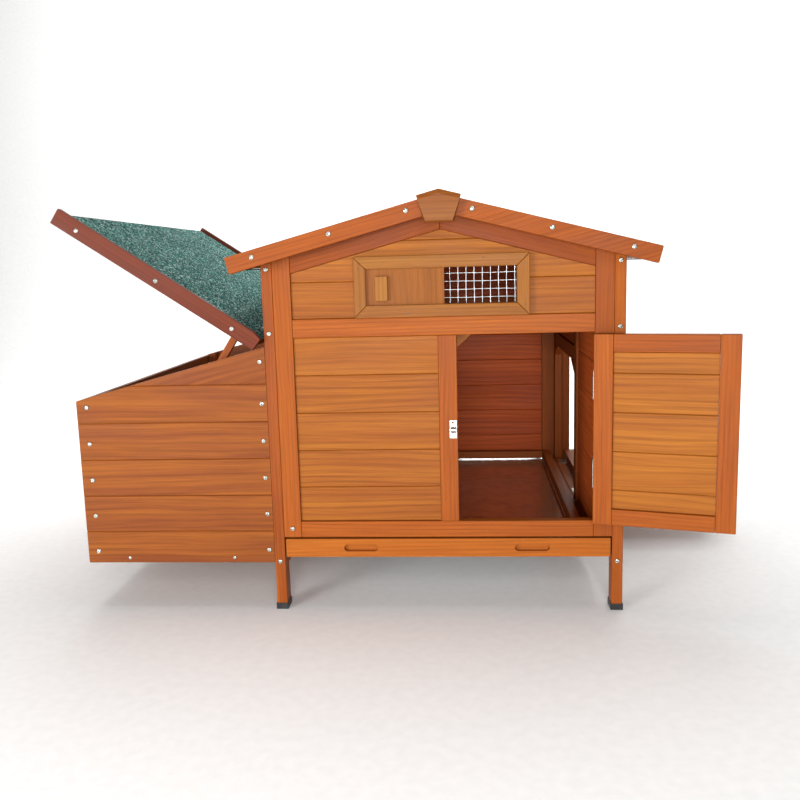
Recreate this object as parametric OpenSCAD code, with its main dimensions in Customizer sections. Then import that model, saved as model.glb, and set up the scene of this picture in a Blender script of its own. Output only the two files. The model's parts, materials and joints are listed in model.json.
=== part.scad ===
// Small rabbit hutch with a side nest box, in fir battens and tongue planks.
// X runs to the right of the front, Y from the front to the back, Z up from the floor.

/* [House] */
// Width over the four posts
house_w = 584; // [520:1:720]
// Depth over the four posts
house_d = 760; // [640:1:920]
// Height of the roof underside at the ridge
ridge_h = 665; // [645:1:760]
// Pitch of both roofs in degrees
roof_pitch = 14.7; // [12:0.1:18]
// Height of the tray opening above the floor
leg_h = 93; // [80:1:120]

/* [Timber] */
// Width of a post seen from the front
post_w = 18; // [15:0.5:24]
// Depth of a post seen from the side
post_d = 30; // [24:1:40]
// Width of stiles and rails
stile_w = 30; // [24:1:36]
// Thickness of the framed panels
frame_t = 18; // [16:0.5:22]
// Thickness of the planks
plank_t = 9; // [7:0.5:11]
// Height of one course of planks
course_h = 63; // [50:1:75]
// Height of the rail under the front door
low_rail_h = 27.5; // [20:1:32]

/* [Front door] */
// Centre line of the middle stile
mid_stile_x = 8; // [-40:1:40]
// Height of the underside of the middle rail
door_head_z = 466; // [440:1:480]
// Clearance round the door
door_gap = 1.6; // [1.5:0.1:4]
// How far the door stands open at rest, in degrees
door_open = 164; // [100:1:170]
// Height of a butt hinge
butt_h = 45; // [35:1:60]

/* [Window] */
// Width over the window frame
window_w = 281; // [240:1:300]
// Height over the window frame
window_h = 98; // [80:1:100]
// Width of the window frame boards
window_bar = 20; // [16:1:24]
// Thickness of the sliding shutter
shutter_t = 5; // [4:0.5:6]
// Spacing of the mesh wires
mesh_pitch = 13; // [10:0.5:19]
// Thickness of a mesh wire
wire_d = 1; // [0.8:0.1:1.4]

/* [Tray] */
// Height of the tray front board
tray_front_h = 31.5; // [28:0.5:34]
// Thickness of the tray front board
tray_front_t = 15; // [12:0.5:18]
// Width of a finger slot
slot_w = 57; // [45:1:80]
// Height of a finger slot
slot_h = 12; // [10:0.5:16]
// Thickness of the metal pan
pan_t = 1; // [0.8:0.1:1.5]

/* [Roof] */
// Overhang of the fascias past the front and back
roof_over_y = 45; // [30:1:60]
// Overhang of the eaves past the posts
roof_over_x = 43; // [30:1:60]
// Width of the fascia boards
fascia_w = 27; // [24:1:36]
// Thickness of the fascia boards
fascia_t = 12; // [9:0.5:15]
// Thickness of the roofing felt
felt_t = 2; // [1.5:0.1:3]

/* [Nest box] */
// Width of the nest box outside the house
nest_w = 327; // [260:1:360]
// Height of the nest box floor above the ground
nest_low_z = 83; // [70:1:90]
// Height of the nest box walls where they meet the house
nest_top_z = 452.5; // [430:0.5:470]
// How far the lid is raised above level at rest, in degrees
lid_raise = 33.6; // [20:0.1:45]
// Length of the lid down its slope
lid_len = 387; // [350:1:420]
// Depth of the boards along the lid's two ends
lid_board_h = 27; // [24:1:32]

/* [Pop hole] */
// Width of the pop hole
pop_w = 370; // [300:1:380]
// Height of the pop hole
pop_h = 283; // [220:1:290]

/* [Hidden] */

// hair line between boards that butt together
joint = 0.1;
// bevel along the edges of a plank
bevel = 1.2;
// clearance between bodies that pass each other
pass_gap = 0.5;
tiny = 0.01;
round_fn = 32;

half_w = house_w / 2;
post_in = half_w - post_w;
stile_in = post_in - stile_w;
slope = tan(roof_pitch);
plank_in = (frame_t - plank_t) / 2;

// heights of the front, upwards
tray_top_z = leg_h + tray_front_h;
low_rail_z = tray_top_z + 3;
sill_z = low_rail_z + low_rail_h;
head_top_z = door_head_z + stile_w;

// middle stile of the front
mid_x0 = mid_stile_x - stile_w / 2;
mid_x1 = mid_stile_x + stile_w / 2;

// caps on the feet
cap_h = 11;
cap_wall = 1.2;
cap_floor = 1.5;

// side walls
wall_low_z = leg_h - 18;
wall_sill_z = wall_low_z + stile_w;
wall_y0 = post_d;
wall_y1 = house_d - post_d;
plate_h = 30;

// right wall, which stands inside the posts and runs from the front frame to the back face
right_x0 = post_in - frame_t;
right_x1 = post_in - joint;
right_y0 = frame_t;
right_low_z = leg_h - 16;
right_sill_z = right_low_z + frame_t;

// frames of the back
back_low_z = 80;
back_sill_z = back_low_z + stile_w;

// ends of the rails between the stiles of the front and the back
front_x = [-stile_in + joint, stile_in - joint];
back_x = [-stile_in + joint, right_x0 - stile_w - 2 * joint];

// roof
fascia_drop = 6.3;
roof_x1 = half_w + roof_over_x;
felt_lift = plank_t + felt_t;
eave_x = roof_x1 - 6;
ridge_beam_w = 18;
ridge_beam_h = 30;
key_top_w = 68;
key_low_w = 45;
key_z0 = ridge_h - 22;
key_shoulder_z = ridge_h + 18;
key_t = 16;
key_chamfer = 7;

// front door and its hinges
pin_r = 1.2;
pin_fit = 0.05;
knuckle_r = 2.8;
leaf_t = 1.2;
leaf_gap = 2.6;
leaf_w = 17;
pin_x = stile_in - leaf_gap / 2;
pin_y = -knuckle_r - 0.1;
door_x1 = stile_in - leaf_gap;
door_x0 = mid_x1 + door_gap;
door_z0 = sill_z + door_gap;
door_z1 = door_head_z - door_gap;
door_rail_h = 28;
door_low_rail_h = 26;
butt_inset = 82;
butt_zs = [door_z0 + butt_inset, door_z1 - butt_inset];

// sliding bolt of the door
bolt_z = 311;
rod_r = 2.5;
rod_y = -6;
bolt_travel = 15;
rod_len = 46;
staple_hole_r = 3.3;
staple_t = 1.6;

// window
win_z0 = head_top_z + joint;
win_h = min(window_h, roof_z(window_w / 2) - stile_w / cos(roof_pitch) - win_z0 - joint);
win_y0 = -7.5;
win_x0 = -window_w / 2;
win_x1 = window_w / 2;
open_x0 = win_x0 + window_bar;
open_x1 = win_x1 - window_bar;
open_z0 = win_z0 + window_bar;
open_z1 = win_z0 + win_h - window_bar;
groove_d = 5;
shutter_y0 = plank_in - 0.3 - shutter_t;
shutter_x1 = 5;
shutter_travel = open_x1 + groove_d - pass_gap - shutter_x1;
handle_w = 20;
handle_h = 39.5;
handle_t = 8;

// tray and what carries it
tray_gap = 2;
tray_side_x = right_x0 - 13;
tray_side_t = 18;
tray_low_z = leg_h - 1;
tray_side_h = 21;
pan_lip = 3;
tray_y1 = house_d - frame_t - 6;
ledge_t = 8;
ledge_in = tray_side_x - 14;
ledge_y0 = 40;
slot_depth = 8;
slot_x = 143.5;

// nest box
nest_x0 = -half_w - nest_w;
batten_w = 18;
nest_course_z = 56;
lid_thick = plank_t + felt_t;
lid_clear = 0.4;
hinge_back = 5;
hinge_x = -half_w - hinge_back;
hinge_z = nest_top_z - hinge_back * slope + (lid_clear + lid_thick + 1) / cos(roof_pitch);
lid_turn = lid_raise + roof_pitch;
lid_board_t = 12;
lid_board_gap = 2;
lid_under = -1 - lid_thick;
lid_board_top = 7.5;
lid_clip_x = 16;
lid_clip_z = 4.5;
lid_hinge_h = 60;
lid_hinge_ys = [130, house_d / 2, house_d - 130];
lid_knuckle_r = 3;

// prop that holds the lid up
prop_w = 12;
prop_t = 10;
prop_y0 = plank_t + batten_w + 2;
prop_foot_nx = 95;
prop_foot_drop = 18.5;
prop_slack = 2.4;
prop_pin_r = 2;

// pop hole and its door
pop_y1 = house_d - max(stile_w, post_d);
pop_y0 = pop_y1 - pop_w;
pop_z0 = right_sill_z;
pop_z1 = pop_z0 + pop_h;
pop_clip_y = 60;
pop_clip_z = 26;
pop_gap = 2.5;
pop_pin_x = right_x1 + 2.2;
pop_pin_z = pop_z0 + 1.5;
pop_rest_w = 18;
pop_hinge_w = 45;
pop_hinge_inset = 45;
button_len = 62;
button_w = 16;
button_t = 7;
button_pin_r = 2;
button_y = (pop_y0 + pop_y1) / 2;
button_z = pop_z1 + 12;

// screws
screw_r = 4;
screw_h = 1.4;
post_screw_drop = 10.4;
house_mid_z = 300;

// bounding box of the whole model, which sets the origin
lid_reach = lid_len * cos(lid_raise) + (lid_board_h - lid_board_top) * sin(lid_raise);
bound_x0 = hinge_x - lid_reach;
door_reach = pin_x - door_x0;
door_edge_x = pin_x + door_reach * sin(door_open - 90) - pin_y * cos(door_open - 90);
door_back_reach = frame_t - pin_y;
bound_y0 = pin_y - door_reach * cos(door_open - 90) - door_back_reach * sin(door_open - 90);
bound_x1 = max(door_edge_x, pop_pin_x + pop_z1 - pop_gap - pop_pin_z);
bound_y1 = house_d + roof_over_y + joint + key_t;
origin_x = (bound_x0 + bound_x1) / 2;
origin_y = (bound_y0 + bound_y1) / 2;

FIR = "#c8702f";
FIR_DARK = "#a5522a";
HONEY = "#cf9348";
PLY = "#cd8040";
FELT = "#3f7a68";
ZINC = "#b9bcbd";
BLACK = "#17181a";

// height of the roof underside above a given x
function roof_z(x) = ridge_h - slope * abs(x);
// height of the top of the nest box walls at a given x
function nest_z(x) = nest_top_z - slope * (-half_w - x);
// heights of the grooves between courses, from a top height down to a floor
function courses(top, low) = [for (z = [top - course_h : -course_h : low + 12]) z];

module house() translate([-origin_x, -origin_y, 0]) children();

module block(x, y, z) {
    translate([x[0], y[0], z[0]]) cube([x[1] - x[0], y[1] - y[0], z[1] - z[0]]);
}

// an outline in X and Z carried from y[0] to y[1]
module along_y(y) {
    translate([0, y[1], 0]) rotate([90, 0, 0]) linear_extrude(y[1] - y[0]) children();
}

// an outline in Y and Z carried from x[0] to x[1]
module along_x(x) {
    translate([x[0], 0, 0]) rotate([90, 0, 90]) linear_extrude(x[1] - x[0]) children();
}

// section of a plank with bevelled edges
module plank_section(a, b) {
    polygon([[a[0] + bevel, b[0]], [a[1] - bevel, b[0]], [a[1], b[0] + bevel],
        [a[1], b[1] - bevel], [a[1] - bevel, b[1]], [a[0] + bevel, b[1]],
        [a[0], b[1] - bevel], [a[0], b[0] + bevel]]);
}

// courses of planks that run along X, between two heights
module planks_x(x, y, z, top) {
    cuts = concat([z[1]], [for (g = courses(top, z[0])) if (g < z[1] - 1) g], [z[0]]);
    for (i = [0 : len(cuts) - 2])
        along_x(x) plank_section(y, [cuts[i + 1] + joint / 2, cuts[i] - joint / 2]);
}

// courses of planks that run along Y
module planks_y(x, y, z, top) {
    cuts = concat([z[1]], [for (g = courses(top, z[0])) if (g < z[1] - 1) g], [z[0]]);
    for (i = [0 : len(cuts) - 2])
        along_y(y) plank_section(x, [cuts[i + 1] + joint / 2, cuts[i] - joint / 2]);
}

// everything under a line that follows the roof, this far below its underside
module under_roof(y, drop, reach) {
    along_y(y) polygon([[-reach, 0], [reach, 0], [reach, roof_z(reach) - drop],
        [0, ridge_h - drop], [-reach, roof_z(reach) - drop]]);
}

// round screw head with a washer, pointing along -Y
module screw_y(x, y, z) {
    translate([x, y, z]) rotate([90, 0, 0]) {
        cylinder(r = screw_r, h = 0.7, $fn = round_fn);
        cylinder(r = screw_r * 0.7, h = screw_h, $fn = round_fn);
    }
}

// ------------------------------------------------------------ posts and feet

module post(x0, y0) {
    along_y([y0, y0 + post_d]) polygon([[x0, cap_floor], [x0 + post_w, cap_floor],
        [x0 + post_w, roof_z(x0 + post_w)], [x0, roof_z(x0)]]);
}

module posts_at(y0) {
    color(FIR) house() {
        post(-half_w, y0);
        post(post_in, y0);
    }
}

module front_posts() posts_at(0);

module rear_posts() posts_at(house_d - post_d);

module foot_caps() {
    color(BLACK) house()
        for (x = [-half_w, post_in], y = [0, house_d - post_d]) difference() {
            translate([x - cap_wall, y - cap_wall, 0])
                cube([post_w + 2 * cap_wall, post_d + 2 * cap_wall, cap_h]);
            translate([x, y, cap_floor]) cube([post_w, post_d, cap_h]);
        }
}

// ------------------------------------------------------------ front

module sloped_stile(x, y, z0) {
    along_y(y) polygon([[x[0], z0], [x[1], z0], [x[1], roof_z(x[1])], [x[0], roof_z(x[0])]]);
}

module front_stiles() {
    color(FIR) house() {
        sloped_stile([-post_in + joint, -stile_in], [0, frame_t], low_rail_z);
        sloped_stile([stile_in, post_in - joint], [0, frame_t], low_rail_z);
    }
}

module front_rails() {
    x = [-stile_in + joint, stile_in - joint];
    color(FIR) house() {
        block(x, [0, frame_t], [low_rail_z, sill_z]);
        block(x, [0, frame_t], [door_head_z, head_top_z]);
    }
}

module centre_stile() {
    color(FIR) house()
        block([mid_x0, mid_x1], [0, frame_t], [sill_z + joint, door_head_z - joint]);
}

module gable_rails(y, x) {
    w = stile_w / cos(roof_pitch);
    for (i = [0, 1]) {
        a = (i * 2 - 1) * joint / 2;
        b = x[i];
        along_y(y) polygon([[a, ridge_h], [b, roof_z(b)], [b, roof_z(b) - w], [a, ridge_h - w]]);
    }
}

module front_gable_rails() color(FIR) house() gable_rails([0, frame_t], front_x);

module front_panel_planks() {
    color(FIR) house() planks_x([-stile_in + joint, mid_x0 - joint],
        [plank_in, plank_in + plank_t], [sill_z + joint, door_head_z - joint], door_head_z);
}

module gable_planks(y, x) {
    w = stile_w / cos(roof_pitch);
    intersection() {
        for (i = [0 : 2]) along_x(x) plank_section(y,
            [head_top_z + i * course_h - (i == 0 ? 0 : 4) + joint,
            head_top_z + (i + 1) * course_h - 4]);
        under_roof([y[0] - 1, y[1] + 1], w + joint, stile_in);
    }
}

module front_gable_planks() {
    color(FIR) house() difference() {
        gable_planks([plank_in, plank_in + plank_t], front_x);
        block([shutter_x1, open_x1], [0, frame_t], [open_z0, open_z1]);
    }
}

// one mitred board of the window frame, rebated behind for the shutter
module window_board(length) {
    half = length / 2;
    difference() {
        translate([0, plank_in, 0]) rotate([90, 0, 0]) linear_extrude(plank_in - win_y0)
            polygon([[-half + joint, 0], [half - joint, 0],
                [half - window_bar - joint, window_bar], [-half + window_bar + joint, window_bar]]);
        block([-half - 1, half + 1], [shutter_y0 - 0.3, plank_in + 1],
            [window_bar - groove_d, window_bar + 1]);
    }
}

module window_frame() {
    cz = win_z0 + win_h / 2;
    color(HONEY) house() {
        translate([0, 0, win_z0]) window_board(window_w);
        translate([0, 0, win_z0 + win_h]) mirror([0, 0, 1]) window_board(window_w);
        translate([win_x0, 0, cz]) rotate([0, 90, 0]) window_board(win_h);
        translate([win_x1, 0, cz]) rotate([0, -90, 0]) window_board(win_h);
    }
}

// welded wires stapled behind the planks
module window_mesh() {
    y = plank_in + plank_t + wire_d / 2;
    x0 = shutter_x1 - 9;
    x1 = open_x1 + 10;
    z0 = open_z0 - 9;
    z1 = open_z1 + 9;
    color(ZINC) house() {
        for (x = [x0 + 5 : mesh_pitch : x1]) translate([x, y, z0])
            cylinder(d = wire_d, h = z1 - z0, $fn = 8);
        for (z = [z0 + 5 : mesh_pitch : z1]) translate([x0, y + wire_d * 0.8, z])
            rotate([0, 90, 0]) cylinder(d = wire_d, h = x1 - x0, $fn = 8);
    }
}

module door_stop_block() {
    color(FIR) house() along_y([frame_t + 0.4, frame_t + 0.4 + plank_t])
        polygon([[mid_x1 - 16, door_head_z + 12], [mid_x1 + 34, door_head_z + 12],
            [mid_x1 + 34, door_head_z - 1], [mid_x1 + 24, door_head_z - 1],
            [mid_x1 + 1, door_head_z - 22], [mid_x1 - 16, door_head_z - 22]]);
}

// ------------------------------------------------------------ back

module back_frame() {
    y = [house_d - frame_t, house_d];
    color(FIR) house() {
        sloped_stile([-post_in + joint, -stile_in], y, back_low_z);
        sloped_stile([back_x[1] + joint, right_x0 - joint], y, back_low_z);
        block(back_x, y, [back_low_z, back_sill_z]);
        block(back_x, y, [door_head_z, head_top_z]);
        gable_rails(y, back_x);
    }
}

module back_planks() {
    y = [house_d - frame_t + plank_in, house_d - plank_in];
    color(FIR_DARK) house() {
        planks_x(back_x, y, [back_sill_z + joint, door_head_z - joint], door_head_z);
        gable_planks(y, back_x);
    }
}

// ------------------------------------------------------------ side walls

// the rail under the roof, its top cut to the slope
module wall_plate(x, y) {
    along_y(y) polygon([[x[0], plate_z], [x[1], plate_z], [x[1], roof_z(x[1])], [x[0], roof_z(x[0])]]);
}

module wall_upright(x, y, z) {
    block(x, y, [z[0] + joint, z[1] - joint]);
}

plate_z = roof_z(half_w) - plate_h;
nest_way_z = nest_top_z + 2;

module left_wall_frame() {
    x = [-half_w, -post_in];
    mid_y = house_d / 2;
    color(FIR) house() {
        wall_plate(x, [wall_y0 + joint, wall_y1 - joint]);
        block(x, [wall_y0 + joint, wall_y1 - joint], [wall_low_z, wall_sill_z]);
        wall_upright(x, [wall_y0 + joint, wall_y0 + stile_w], [wall_sill_z, plate_z]);
        wall_upright(x, [wall_y1 - stile_w, wall_y1 - joint], [wall_sill_z, plate_z]);
        block(x, [wall_y0 + stile_w + joint, wall_y1 - stile_w - joint],
            [nest_way_z, nest_way_z + stile_w]);
        wall_upright(x, [mid_y - stile_w / 2, mid_y + stile_w / 2],
            [wall_sill_z, nest_way_z]);
    }
}

module left_wall_planks() {
    x = [-half_w + plank_in, -half_w + plank_in + plank_t];
    mid_y = house_d / 2;
    y0 = wall_y0 + stile_w + joint;
    y1 = wall_y1 - stile_w - joint;
    color(FIR_DARK) house() {
        planks_y(x, [y0, y1], [nest_way_z + stile_w + joint, plate_z - joint], plate_z);
        for (y = [[y0, mid_y - stile_w / 2 - joint], [mid_y + stile_w / 2 + joint, y1]])
            planks_y(x, y, [wall_sill_z + joint, wall_sill_z + course_h], wall_sill_z + course_h);
    }
}

module right_wall_frame() {
    x = [right_x0, right_x1];
    y = [right_y0 + joint, house_d];
    head = pop_z1 + stile_w;
    color(FIR) house() {
        wall_plate(x, y);
        wall_upright(x, [y[0], y[0] + stile_w], [leg_h - 4, plate_z]);
        wall_upright(x, [pop_y1, y[1]], [right_low_z, plate_z]);
        block(x, [y[0] + stile_w + joint, pop_y1 - joint], [right_low_z, right_sill_z]);
        wall_upright(x, [pop_y0 - stile_w, pop_y0], [right_sill_z, plate_z]);
        block(x, [pop_y0 + joint, pop_y1 - joint], [pop_z1, head]);
        for (end = [0, 1]) translate([0, end * (pop_y0 + pop_y1), 0]) mirror([0, end, 0])
            along_x(x) polygon([[pop_y0 + joint, pop_z1 - joint],
                [pop_y0 + pop_clip_y, pop_z1 - joint], [pop_y0 + joint, pop_z1 - pop_clip_z]]);
    }
}

module right_wall_planks() {
    x = [right_x1 - plank_in - plank_t, right_x1 - plank_in];
    head = pop_z1 + stile_w;
    color(FIR_DARK) house() {
        planks_y(x, [right_y0 + stile_w + 2 * joint, pop_y0 - stile_w - joint],
            [right_sill_z + joint, plate_z - joint], door_head_z + 2 * course_h);
        planks_y(x, [pop_y0 + joint, pop_y1 - joint],
            [head + joint, plate_z - joint], door_head_z + 2 * course_h);
    }
}

module ridge_beam() {
    half = ridge_beam_w / 2;
    top = roof_z(half);
    color(FIR) house() along_y([frame_t + joint, house_d - frame_t - joint])
        polygon([[-half, top - ridge_beam_h], [half, top - ridge_beam_h], [half, top],
            [0, ridge_h], [-half, top]]);
}

// ------------------------------------------------------------ tray and runners

module tray_runners() {
    guide_x = tray_side_x + tray_gap;
    top = tray_low_z - pass_gap + 3;
    color(FIR) house() for (side = [-1, 1]) {
        a = side * ledge_in;
        b = side < 0 ? -post_in + joint : right_x0 - joint;
        g = side * guide_x;
        along_y([ledge_y0, tray_y1]) polygon([[a, tray_low_z - pass_gap - ledge_t],
            [b, tray_low_z - pass_gap - ledge_t], [b, top], [g, top],
            [g, tray_low_z - pass_gap], [a, tray_low_z - pass_gap]]);
    }
}

module finger_slot(x) {
    r = slot_h / 2;
    z = leg_h + tray_front_h / 2;
    translate([x, slot_depth, z]) rotate([90, 0, 0]) {
        for (e = [-1, 1]) translate([e * (slot_w / 2 - r), 0, 0])
            cylinder(r = r, h = slot_depth + 1, $fn = round_fn);
        translate([-(slot_w / 2 - r), -r, 0]) cube([slot_w - 2 * r, slot_h, slot_depth + 1]);
    }
}

module tray_front() {
    half = post_in - tray_gap;
    color(FIR) house() difference() {
        block([-half, half], [0, tray_front_t], [leg_h, tray_top_z]);
        for (side = [-1, 1]) finger_slot(side * slot_x);
    }
}

module tray_sides() {
    x1 = tray_side_x;
    x0 = x1 - tray_side_t;
    z = [tray_low_z, tray_low_z + tray_side_h];
    y = [tray_front_t + joint, tray_y1];
    color(FIR) house() {
        block([-x1, -x0], y, z);
        block([x0, x1], y, z);
        block([-x0 + joint, x0 - joint], [tray_y1 - tray_side_t, tray_y1], z);
        block([-x0 + joint, x0 - joint], [tray_front_t + joint, tray_front_t + tray_side_t], z);
    }
}

module tray_pan() {
    x = tray_side_x - tray_side_t - joint;
    y = [tray_front_t + tray_side_t + joint, tray_y1 - tray_side_t - joint];
    color(ZINC) house() difference() {
        block([-x, x], y, [tray_low_z + 1, tray_low_z + 1 + pan_lip]);
        block([-x + pan_t, x - pan_t], [y[0] + pan_t, y[1] - pan_t],
            [tray_low_z + 1 + pan_t, tray_low_z + 2 + pan_lip]);
    }
}

// ------------------------------------------------------------ roof

roof_y = [-roof_over_y + fascia_t + joint, house_d + roof_over_y - fascia_t - joint];

// the frame of one roof slope: X runs down the slope from the ridge, Z out of it
module on_slope(side) {
    translate([0, 0, ridge_h]) mirror([side < 0 ? 1 : 0, 0, 0])
        rotate([0, roof_pitch, 0]) children();
}

module roof_boards() {
    run = eave_x / cos(roof_pitch);
    count = ceil(run / course_h);
    start = plank_t * slope + 0.3;
    color(FIR_DARK) house() for (side = [-1, 1]) on_slope(side)
        for (i = [0 : count - 1]) {
            a = max(start, i * course_h + joint);
            b = min(run, (i + 1) * course_h);
            translate([0, roof_y[1], 0]) rotate([90, 0, 0]) linear_extrude(roof_y[1] - roof_y[0])
                polygon([[a, 0.1], [b, 0.1], [b, plank_t], [a + bevel / 2, plank_t], [a, plank_t - 1]]);
        }
}

module roof_felt() {
    run = eave_x / cos(roof_pitch);
    start = (plank_t + felt_t) * slope;
    color(FELT) house() for (side = [-1, 1]) on_slope(side)
        translate([0, roof_y[1], 0]) rotate([90, 0, 0]) linear_extrude(roof_y[1] - roof_y[0])
            polygon([[plank_t * slope + joint, plank_t + 0.05], [run + 0.1, plank_t + 0.05],
                [run + 0.1, -1], [run + felt_t, -1], [run + felt_t, felt_lift],
                [start + joint, felt_lift]]);
}

module fascia(side, y) {
    low = -fascia_drop * cos(roof_pitch);
    top = low + fascia_w;
    length = roof_x1 / cos(roof_pitch) + low * slope;
    color(FIR) on_slope(side) translate([0, y[1], 0]) rotate([90, 0, 0])
        linear_extrude(y[1] - y[0]) polygon([[low * slope + joint, low], [length, low],
            [length, top], [top * slope + joint, top]]);
}

module fascia_boards() {
    house() for (side = [-1, 1]) {
        fascia(side, [-roof_over_y, -roof_over_y + fascia_t]);
        fascia(side, [house_d + roof_over_y - fascia_t, house_d + roof_over_y]);
    }
}

// block over the joint of two fascias, with a wide chamfer round its face
module keystone(y, face) {
    color(HONEY) translate([0, y, 0]) mirror([0, face, 0]) hull() {
        along_y([-key_t + key_chamfer / 2, 0]) key_outline(0);
        along_y([-key_t, -key_t + tiny]) key_outline(key_chamfer);
    }
}

module key_outline(inset) {
    s = inset * 0.25;
    peak = key_shoulder_z + key_top_w / 2 * slope;
    polygon([[-key_low_w / 2 + s, key_z0 + s], [key_low_w / 2 - s, key_z0 + s],
        [key_top_w / 2 - s, key_shoulder_z - inset], [0, peak - inset],
        [-key_top_w / 2 + s, key_shoulder_z - inset]]);
}

module ridge_keystones() {
    house() {
        keystone(-roof_over_y - joint, 0);
        keystone(house_d + roof_over_y + joint, 1);
    }
}

// zinc angles between the posts and the roof
module roof_brackets() {
    color(ZINC) house() for (side = [-1, 1], y = [12, house_d - 28]) {
        x = side * (half_w + joint);
        top = roof_z(half_w) - slope * 20 - 2;
        along_y([y, y + 16]) polygon([[x, top - 24], [x + side * 1.2, top - 24],
            [x + side * 1.2, top - 1.5], [x + side * 16, top - 1.5 - slope * 3],
            [x + side * 16, top - slope * 3], [x, top]]);
    }
}

// ------------------------------------------------------------ nest box

module nest_slab(y) {
    along_y(y) polygon([[nest_x0, nest_low_z], [-half_w - joint, nest_low_z],
        [-half_w - joint, nest_z(-half_w)], [nest_x0, nest_z(nest_x0)]]);
}

nest_groove_top = nest_low_z + nest_course_z + 5 * course_h;

module nest_side_planks(y) {
    cuts = concat([nest_low_z], [for (i = [0 : 4]) nest_low_z + nest_course_z + i * course_h],
        [nest_top_z + 1]);
    color(FIR) intersection() {
        for (i = [0 : len(cuts) - 2]) along_x([nest_x0, -half_w - joint])
            plank_section(y, [cuts[i] + joint / 2, cuts[i + 1] - joint / 2]);
        nest_slab([y[0] - 1, y[1] + 1]);
    }
}

module nest_front_planks() house() nest_side_planks([0, plank_t]);

module nest_back_planks() house() nest_side_planks([house_d - plank_t, house_d]);

module nest_outer_planks() {
    top = nest_z(nest_x0 + plank_t);
    color(FIR) house() intersection() {
        planks_y([nest_x0, nest_x0 + plank_t], [plank_t + joint, house_d - plank_t - joint],
            [nest_low_z, top + course_h], nest_groove_top);
        block([nest_x0 - 1, nest_x0 + plank_t + 1], [0, house_d],
            [nest_low_z, nest_z(nest_x0) - joint]);
    }
}

// corner battens and the block that carries the prop
module nest_battens() {
    foot_x = -half_w - prop_foot_nx;
    foot_z = nest_z(foot_x) - prop_foot_drop;
    low = nest_low_z + plank_t + joint;
    color(FIR_DARK) house() {
        for (x0 = [nest_x0 + plank_t + joint, -half_w - joint - batten_w],
            y0 = [plank_t + joint, house_d - plank_t - joint - batten_w])
            along_y([y0, y0 + batten_w]) polygon([[x0, low], [x0 + batten_w, low],
                [x0 + batten_w, nest_z(x0 + batten_w) - 1], [x0, nest_z(x0) - 1]]);
        along_y([plank_t + joint, plank_t + joint + batten_w]) polygon([
            [foot_x - 22, foot_z - 22], [foot_x + 22, foot_z - 22],
            [foot_x + 22, nest_z(foot_x + 22) - 2], [foot_x - 22, nest_z(foot_x - 22) - 2]]);
        translate([foot_x, plank_t + batten_w, foot_z]) rotate([-90, 0, 0])
            cylinder(r = prop_pin_r, h = prop_t + 3, $fn = round_fn);
        translate([foot_x, prop_y0 + prop_t + 0.4, foot_z]) rotate([-90, 0, 0])
            cylinder(r = prop_pin_r * 2, h = 1.6, $fn = round_fn);
    }
}

module nest_floor() {
    color(PLY) house() block([nest_x0 + plank_t + joint, -half_w - joint],
        [plank_t + joint, house_d - plank_t - joint], [nest_low_z, nest_low_z + plank_t]);
}

divider_h = 150;

module nest_divider() {
    y = house_d / 2;
    color(PLY) house() block([nest_x0 + plank_t + joint, -half_w - joint],
        [y - plank_t / 2, y + plank_t / 2],
        [nest_low_z + plank_t + joint, nest_low_z + plank_t + divider_h]);
}

// ------------------------------------------------------------ hinges and latches

// barrels of a butt hinge along Z: the even ones on the jamb, the odd ones on the door
module barrels(height, first, bore) {
    count = 5;
    step = height / count;
    for (i = [first : 2 : count - 1]) translate([0, 0, -height / 2 + i * step + 0.15])
        difference() {
            cylinder(r = knuckle_r, h = step - 0.3, $fn = round_fn);
            if (bore > 0) translate([0, 0, -1]) cylinder(r = bore, h = step + 2, $fn = round_fn);
        }
}

module jamb_leaf(height) {
    step = height / 5;
    barrels(height, 0, 0);
    translate([0, 0, -height / 2]) cylinder(r = pin_r, h = height, $fn = round_fn);
    difference() {
        translate([leaf_gap / 2 - leaf_t, 0, -height / 2]) cube([leaf_t - joint / 2, leaf_w, height]);
        for (i = [1, 3]) translate([0, -1, -height / 2 + i * step - 0.15])
            cube([leaf_gap, knuckle_r + 1.6, step + 0.3]);
    }
}

module door_leaf(height) {
    step = height / 5;
    barrels(height, 1, pin_r + pin_fit);
    difference() {
        translate([-leaf_gap / 2 + joint / 2, 0, -height / 2])
            cube([leaf_t - joint / 2, leaf_w, height]);
        for (i = [0, 2, 4]) translate([-leaf_gap, -1, -height / 2 + i * step - 0.15])
            cube([leaf_gap * 2, knuckle_r + 1.6, step + 0.3]);
        translate([0, 0, -height / 2 - 1]) cylinder(r = pin_r + pin_fit, h = height + 2, $fn = round_fn);
    }
}

module door_hinge_jamb_leaves() {
    color(ZINC) house() for (z = butt_zs) translate([pin_x, pin_y, z]) jamb_leaf(butt_h);
}

module bolt_keeper() {
    x = mid_x1 - 12;
    color(ZINC) house() {
        difference() {
            block([x - 1.5, mid_x1 - 1.5], [-1.4, -0.1], [bolt_z - 15, bolt_z + 15]);
            translate([x + 4, 1, bolt_z + 11]) rotate([90, 0, 0])
                cylinder(r = 1.6, h = 4, $fn = round_fn);
        }
        difference() {
            translate([x + 1, rod_y, bolt_z]) rotate([0, 90, 0])
                cylinder(r = staple_hole_r + staple_t, h = 8, $fn = round_fn);
            translate([x, rod_y, bolt_z]) rotate([0, 90, 0])
                cylinder(r = staple_hole_r, h = 10, $fn = round_fn);
        }
        for (s = [-1, 1]) block([x + 1, x + 9], [rod_y, -1.2],
            [bolt_z + s * (staple_hole_r + staple_t / 2) - staple_t / 2,
            bolt_z + s * (staple_hole_r + staple_t / 2) + staple_t / 2]);
    }
}

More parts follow.
